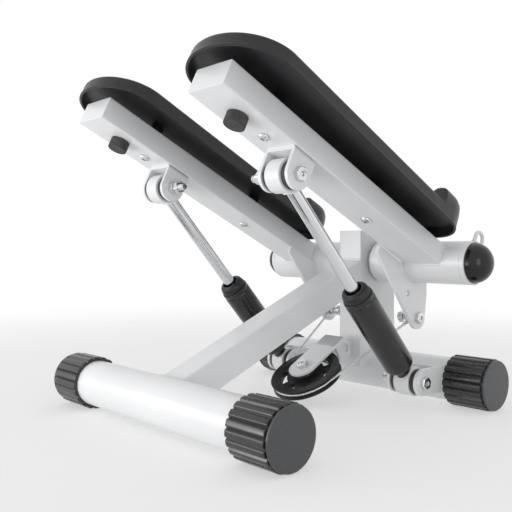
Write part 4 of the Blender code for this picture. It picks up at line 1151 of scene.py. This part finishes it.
def pulley_bracket():
    """Round-tipped tongue over the pulley, folded down at both sides, carried by a rib."""
    half, end, under, sheet, depth, walls = 0.0175, 0.0655, 0.0095, 0.003, 0.023, 0.0440
    place = pulley_place()
    tongue = [(half - 0.001, end), (-half + 0.001, end)] + arc(0, 0, half, 180, 360, 48)
    flat = place @ offset(0, 0, under + sheet / 2)
    parts = [plate(tongue, sheet, flat, [arc(0, 0, BOLT_HOLE_R, 0, 350, 36)])]
    top = under + sheet
    fold = [(half, top, 0.0032), (-half, top, 0.0032), (-half, top - depth), (-half + sheet, top - depth),
            (-half + sheet, under, 0.0012), (half - sheet, under, 0.0012), (half - sheet, top - depth),
            (half, top - depth)]
    across = place @ offset(0, (walls + end) / 2, 0) @ turn_x(math.pi / 2)
    bm = plate(rounded(fold, True, 6), end - walls, across)
    parts.append(carve(bm, drill(0.0058, 0.08, place @ offset(0, 0.0588, 0.0010) @ out_x(1))))
    front = POST_FRONT - GAP
    loop = [(walls + 0.004, under - 0.012), (walls, under + 0.001), (end - 0.002, under + 0.001)]
    loop = [(p.y, p.z) for p in (place @ Vector((0, up, off)) for up, off in loop)]
    loop += [(front, 0.066), (front, 0.044)]
    parts.append(plate(loop, 0.004, FACING_X))
    stand_in("pulley_bracket", gather(parts), "powder_coat", "base")
    for side in SIDES:
        x = side * 0.002
        weld("rib_" + word(side), between((x, front, 0.045), (x, front, 0.065)), "base", 0.0011)


EYELET_HALF = 0.0017
EYELET_R = 0.0088
FERRULE_TO_BOLT = 0.0078
FERRULE_LENGTH = 0.010
FERRULE_R = 0.0021
LAY = 0.011
STRAND_R = 0.00052
STRAND_CIRCLE_R = 0.00095
CORE_R = 0.0007
ROUTE_STEP = 0.0011


def cable_route():
    """In the cable's plane: the lever end, and the angle where the cable leaves the groove."""
    rise = (LEVER_END - PULLEY).length
    across = LEVER_X - GAP - EYELET_HALF
    leave = math.atan2(rise, across) - math.acos(CABLE_PATH_R / math.hypot(across, rise))
    return across, rise, leave


def strand_paths(route):
    """Helical strand paths round a route in the pulley's plane."""
    total = [0.0]
    for a, b in zip(route, route[1:]):
        total.append(total[-1] + (b - a).length)
    count = detail().strands
    normal = Vector((0, 0, 1))
    paths = []
    for k in range(count):
        path = []
        for i, at in enumerate(route):
            ahead = route[min(i + 1, len(route) - 1)] - route[max(i - 1, 0)]
            side = ahead.normalized().cross(normal)
            a = math.tau * (total[i] / LAY + k / count)
            path.append(at + STRAND_CIRCLE_R * (math.cos(a) * side + math.sin(a) * normal))
        paths.append(path)
    return paths


def laid_cable(name, route, body, extra=()):
    """A length of stranded cable along points in the pulley's plane."""
    parts = [rod(path, STRAND_R, round_steps=1) for path in strand_paths(route)]
    parts.append(rod(route, CORE_R, round_steps=1))
    bm = gather([moved(gather(parts), pulley_place()), *extra])
    return piece(name, bm, "cable_wire", body, weighted=False, sharp=60)


def even(points, step):
    """The same path with points an even step apart."""
    made = [points[0]]
    for a, b in zip(points, points[1:]):
        count = max(1, round((b - a).length / step))
        made += [a.lerp(b, i / count) for i in range(1, count + 1)]
    return made


def cable():
    """The wrap in the groove stays; each run goes straight from the groove to its lever's bolt."""
    across, rise, leave = cable_route()
    turns = arc(0, 0, CABLE_PATH_R, math.degrees(leave), -180 - math.degrees(leave), 150)
    wrap = [Vector((x, y, 0)) for x, y in turns]
    made = laid_cable("visual_cable_wrap", wrap, "base")
    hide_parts("cable")
    place = pulley_place()
    for side in SIDES:
        start = Vector((side * wrap[0].x, wrap[0].y, 0))
        end = Vector((side * across, rise, 0))
        back = (start - end).normalized()
        stop = end + back * FERRULE_TO_BOLT
        route = even([start, stop], ROUTE_STEP)
        ferrule = even([stop + back * FERRULE_LENGTH, stop], 2 * FERRULE_LENGTH / 10)
        sleeve = moved(rod(ferrule, FERRULE_R, round_steps=3), place)
        eye = offset(side * across, LEVER_END.y, LEVER_END.z) @ out_x(side)
        eyelet = lathe(ring_profile(EYELET_R, BOLT_HOLE_R, EYELET_HALF, 0.0010, 0.0004), 48, eye)
        run = laid_cable("visual_cable_run_" + word(side), route, None, (sleeve, eyelet))
        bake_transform(run)


def bolts():
    """The bolts of dampers, cable and pulley. A lock nut's place is its distance under the head."""
    seat = BRACKET_WIDTH / 2 + GAP
    for side in SIDES:
        at = offset(side * (ARM_X + seat) + SHIFT, LOWER_EYE.y, LOWER_EYE.z) @ out_x(side)
        hex_bolt(word(side) + "_lower_damper_bolt", "base", at, grip=2 * seat, tail=0.009)
        at = arm_place(side, side * seat + SHIFT, EYE_ALONG, -EYE_DROP) @ out_x(side)
        hex_bolt(word(side) + "_upper_damper_bolt", body_of(side), at, grip=2 * seat, tail=0.016,
                 lock_nut=2 * seat + 0.0078)
        at = offset(side * (LEVER_X + LEVER_THICK + GAP), LEVER_END.y, LEVER_END.z) @ out_x(side)
        hex_bolt(word(side) + "_cable_bolt", body_of(side), at, grip=0.0093, tail=0.014, lock_nut=0.0205)
    above, below = 0.0128, 0.0067
    hex_bolt("pulley_bolt", "base", pulley_place() @ offset(0, 0, above), grip=above + below, tail=0.003)


# Stage
CAMERA_PLACE = (0.5719, NEAR_Y - 0.3911, 0.1823)
CAMERA_YAW = math.radians(47.963)
CAMERA_PITCH = math.radians(-0.676)
SENSOR_WIDTH = 36.0
FLOOR_HALF = 8.0
FLOOR_TOP = -0.0002

# Each light's name, its power among the stage's properties, and its size, place and target
LIGHTS = (
    ("front_light", "key", (1.3, 0.6), (-0.95, -1.45, 0.34), (0.0, 0.0, 0.15)),
    ("low_light", "low", (0.9, 0.36), (-0.25, -1.05, 0.06), (0.02, 0.0, 0.24)),
    ("side_light", "fill", (0.5, 0.8), (1.4, -0.45, 0.30), (0.0, 0.0, 0.15)),
)


def studio_floor():
    """A pale floor, half clear near the object and gone farther out."""
    bm = bmesh.new()
    bmesh.ops.create_grid(bm, x_segments=1, y_segments=1, size=FLOOR_HALF, matrix=offset(0, 0, FLOOR_TOP))
    mesh = mesh_from("studio_floor", bm)
    base = tuple(bpy.context.scene.stepper_stage.floor)
    made = Finish("studio_floor", base, roughness=0.8)
    made.vary_colour(made.noise(3, 2), scaled(base, 0.98), base)
    made.fade_out(near=0.45, far=1.5, least=0.5)
    mesh.materials.append(made.mat)
    floor = linked("studio_floor", mesh)


def studio_world():
    """A white backdrop that lights the object evenly, and less than it shows."""
    scene = bpy.context.scene
    scene.world = bpy.data.worlds.new("studio_world")
    scene.world.use_nodes = True
    tree = scene.world.node_tree
    back = tree.nodes["Background"]
    back.inputs["Color"].default_value = (1.0, 1.0, 1.0, 1)
    rays = tree.nodes.new("ShaderNodeLightPath")
    level = tree.nodes.new("ShaderNodeMapRange")
    set_inputs(level, {"To Min": scene.stepper_stage.world, "To Max": 1.0})
    seen = tree.nodes.new("ShaderNodeMath")
    seen.operation = "MAXIMUM"
    for source, target in ((rays.outputs["Is Camera Ray"], seen.inputs[0]),
                           (rays.outputs["Is Glossy Ray"], seen.inputs[1]),
                           (seen.outputs["Value"], level.inputs["Value"]),
                           (level.outputs["Result"], back.inputs["Strength"])):
        tree.links.new(source, target)


def studio_lights():
    for name, power, size, place, target in LIGHTS:
        lamp = bpy.data.lights.new(name, "AREA")
        lamp.energy = getattr(bpy.context.scene.stepper_stage, power)
        lamp.shape = "RECTANGLE"
        lamp.size, lamp.size_y = size
        obj = linked(name, lamp)
        obj.location = place
        obj.rotation_euler = (Vector(target) - Vector(place)).to_track_quat("-Z", "Y").to_euler()


def photo_camera():
    """The camera that was fitted to the photo."""
    scene = bpy.context.scene
    camera = bpy.data.cameras.new("photo_camera")
    camera.lens = scene.stepper_stage.lens
    camera.sensor_width = SENSOR_WIDTH
    camera.clip_start = 0.01
    obj = linked("photo_camera", camera)
    level = math.cos(CAMERA_PITCH)
    forward = Vector((-math.sin(CAMERA_YAW) * level, math.cos(CAMERA_YAW) * level, math.sin(CAMERA_PITCH)))
    obj.location = CAMERA_PLACE
    obj.rotation_euler = forward.to_track_quat("-Z", "Y").to_euler()
    scene.camera = obj
    scene.view_settings.view_transform = "Standard"


# Operators and panel
class STEPPER_OT_cross_tubes(bpy.types.Operator):
    """Make the near and far cross tubes"""
    bl_idname = "stepper.cross_tubes"
    bl_label = "Cross Tubes"
    bl_options = {"REGISTER", "UNDO"}

    def execute(self, context):
        cross_tubes()
        return {"FINISHED"}


class STEPPER_OT_end_caps(bpy.types.Operator):
    """Make the four ribbed end caps"""
    bl_idname = "stepper.end_caps"
    bl_label = "End Caps"
    bl_options = {"REGISTER", "UNDO"}

    def execute(self, context):
        end_caps()
        return {"FINISHED"}


class STEPPER_OT_beam_and_post(bpy.types.Operator):
    """Make the beam, the post and the frame's welds"""
    bl_idname = "stepper.beam_and_post"
    bl_label = "Beam and Post"
    bl_options = {"REGISTER", "UNDO"}

    def execute(self, context):
        main_beam()
        pivot_post()
        frame_welds()
        return {"FINISHED"}


class STEPPER_OT_axle(bpy.types.Operator):
    """Finish the axle, its nut and its bushes"""
    bl_idname = "stepper.axle"
    bl_label = "Axle and Bushes"
    bl_options = {"REGISTER", "UNDO"}

    def execute(self, context):
        axle()
        for side in SIDES:
            bushes(side)
        return {"FINISHED"}


class STEPPER_OT_pivot_tubes(bpy.types.Operator):
    """Make the pivot tubes with their plugs and band eyes"""
    bl_idname = "stepper.pivot_tubes"
    bl_label = "Pivot Tubes"
    bl_options = {"REGISTER", "UNDO"}

    def execute(self, context):
        for side in SIDES:
            pivot_tube(side)
            end_plug(side)
            band_eye(side)
        return {"FINISHED"}


class STEPPER_OT_pedal_arms(bpy.types.Operator):
    """Make the arms and the cable levers"""
    bl_idname = "stepper.pedal_arms"
    bl_label = "Pedal Arms"
    bl_options = {"REGISTER", "UNDO"}

    def execute(self, context):
        for side in SIDES:
            pedal_arm(side)
            lever_plate(side)
        return {"FINISHED"}


class STEPPER_OT_footplates(bpy.types.Operator):
    """Make the footplates with their screws and buffers"""
    bl_idname = "stepper.footplates"
    bl_label = "Footplates"
    bl_options = {"REGISTER", "UNDO"}

    def execute(self, context):
        for side in SIDES:
            footplate(side)
            plate_screws(side)
            bumper(side)
        return {"FINISHED"}


class STEPPER_OT_brackets(bpy.types.Operator):
    """Make the damper brackets"""
    bl_idname = "stepper.brackets"
    bl_label = "Damper Brackets"
    bl_options = {"REGISTER", "UNDO"}

    def execute(self, context):
        for side in SIDES:
            upper_bracket(side)
            lower_bracket(side)
        return {"FINISHED"}


class STEPPER_OT_bolts(bpy.types.Operator):
    """Make the bolts of dampers, cable and pulley"""
    bl_idname = "stepper.bolts"
    bl_label = "Bolts"
    bl_options = {"REGISTER", "UNDO"}

    def execute(self, context):
        bolts()
        return {"FINISHED"}


class STEPPER_OT_dampers(bpy.types.Operator):
    """Make the two dampers"""
    bl_idname = "stepper.dampers"
    bl_label = "Dampers"
    bl_options = {"REGISTER", "UNDO"}

    def execute(self, context):
        for side in SIDES:
            damper_tube(side)
            damper_gland(side)
            damper_rod(side)
            damper_eyes(side)
        return {"FINISHED"}


class STEPPER_OT_cable_drive(bpy.types.Operator):
    """Make the pulley, its bracket and the cable"""
    bl_idname = "stepper.cable_drive"
    bl_label = "Cable Drive"
    bl_options = {"REGISTER", "UNDO"}

    def execute(self, context):
        pulley()
        pulley_bracket()
        cable()
        return {"FINISHED"}


class STEPPER_OT_stage(bpy.types.Operator):
    """Make the floor, the lights and the camera"""
    bl_idname = "stepper.stage"
    bl_label = "Stage"
    bl_options = {"REGISTER", "UNDO"}

    def execute(self, context):
        studio_floor()
        studio_world()
        studio_lights()
        photo_camera()
        return {"FINISHED"}


class STEPPER_PT_panel(bpy.types.Panel):
    """Sizes, colours and the steps that make the stepper"""
    bl_label = "Mini Stepper"
    bl_idname = "STEPPER_PT_panel"
    bl_space_type = "VIEW_3D"
    bl_region_type = "UI"
    bl_category = "Stepper"

    def draw(self, context):
        scene = context.scene
        for group in (scene.stepper_finish, scene.stepper_detail, scene.stepper_stage):
            box = self.layout.box()
            for name in group.bl_rna.properties.keys():
                if name not in ("rna_type", "name"):
                    box.prop(group, name)
        for step in STEPS:
            self.layout.operator(step.bl_idname)


STEPS = (
    STEPPER_OT_cross_tubes, STEPPER_OT_end_caps, STEPPER_OT_beam_and_post, STEPPER_OT_axle,
    STEPPER_OT_pivot_tubes, STEPPER_OT_pedal_arms, STEPPER_OT_footplates, STEPPER_OT_brackets,
    STEPPER_OT_bolts, STEPPER_OT_dampers, STEPPER_OT_cable_drive, STEPPER_OT_stage,
)
GROUPS = (StepperFinish, StepperDetail, StepperStage)


def register():
    for cls in (*GROUPS, *STEPS, STEPPER_PT_panel):
        bpy.utils.register_class(cls)
    bpy.types.Scene.stepper_finish = PointerProperty(type=StepperFinish)
    bpy.types.Scene.stepper_detail = PointerProperty(type=StepperDetail)
    bpy.types.Scene.stepper_stage = PointerProperty(type=StepperStage)


def unregister():
    del bpy.types.Scene.stepper_finish
    del bpy.types.Scene.stepper_detail
    del bpy.types.Scene.stepper_stage
    for cls in reversed((*GROUPS, *STEPS, STEPPER_PT_panel)):
        bpy.utils.unregister_class(cls)


def main():
    register()
    for step in STEPS:
        group, name = step.bl_idname.split(".")
        getattr(getattr(bpy.ops, group), name)()


if __name__ == "__main__":
    main()
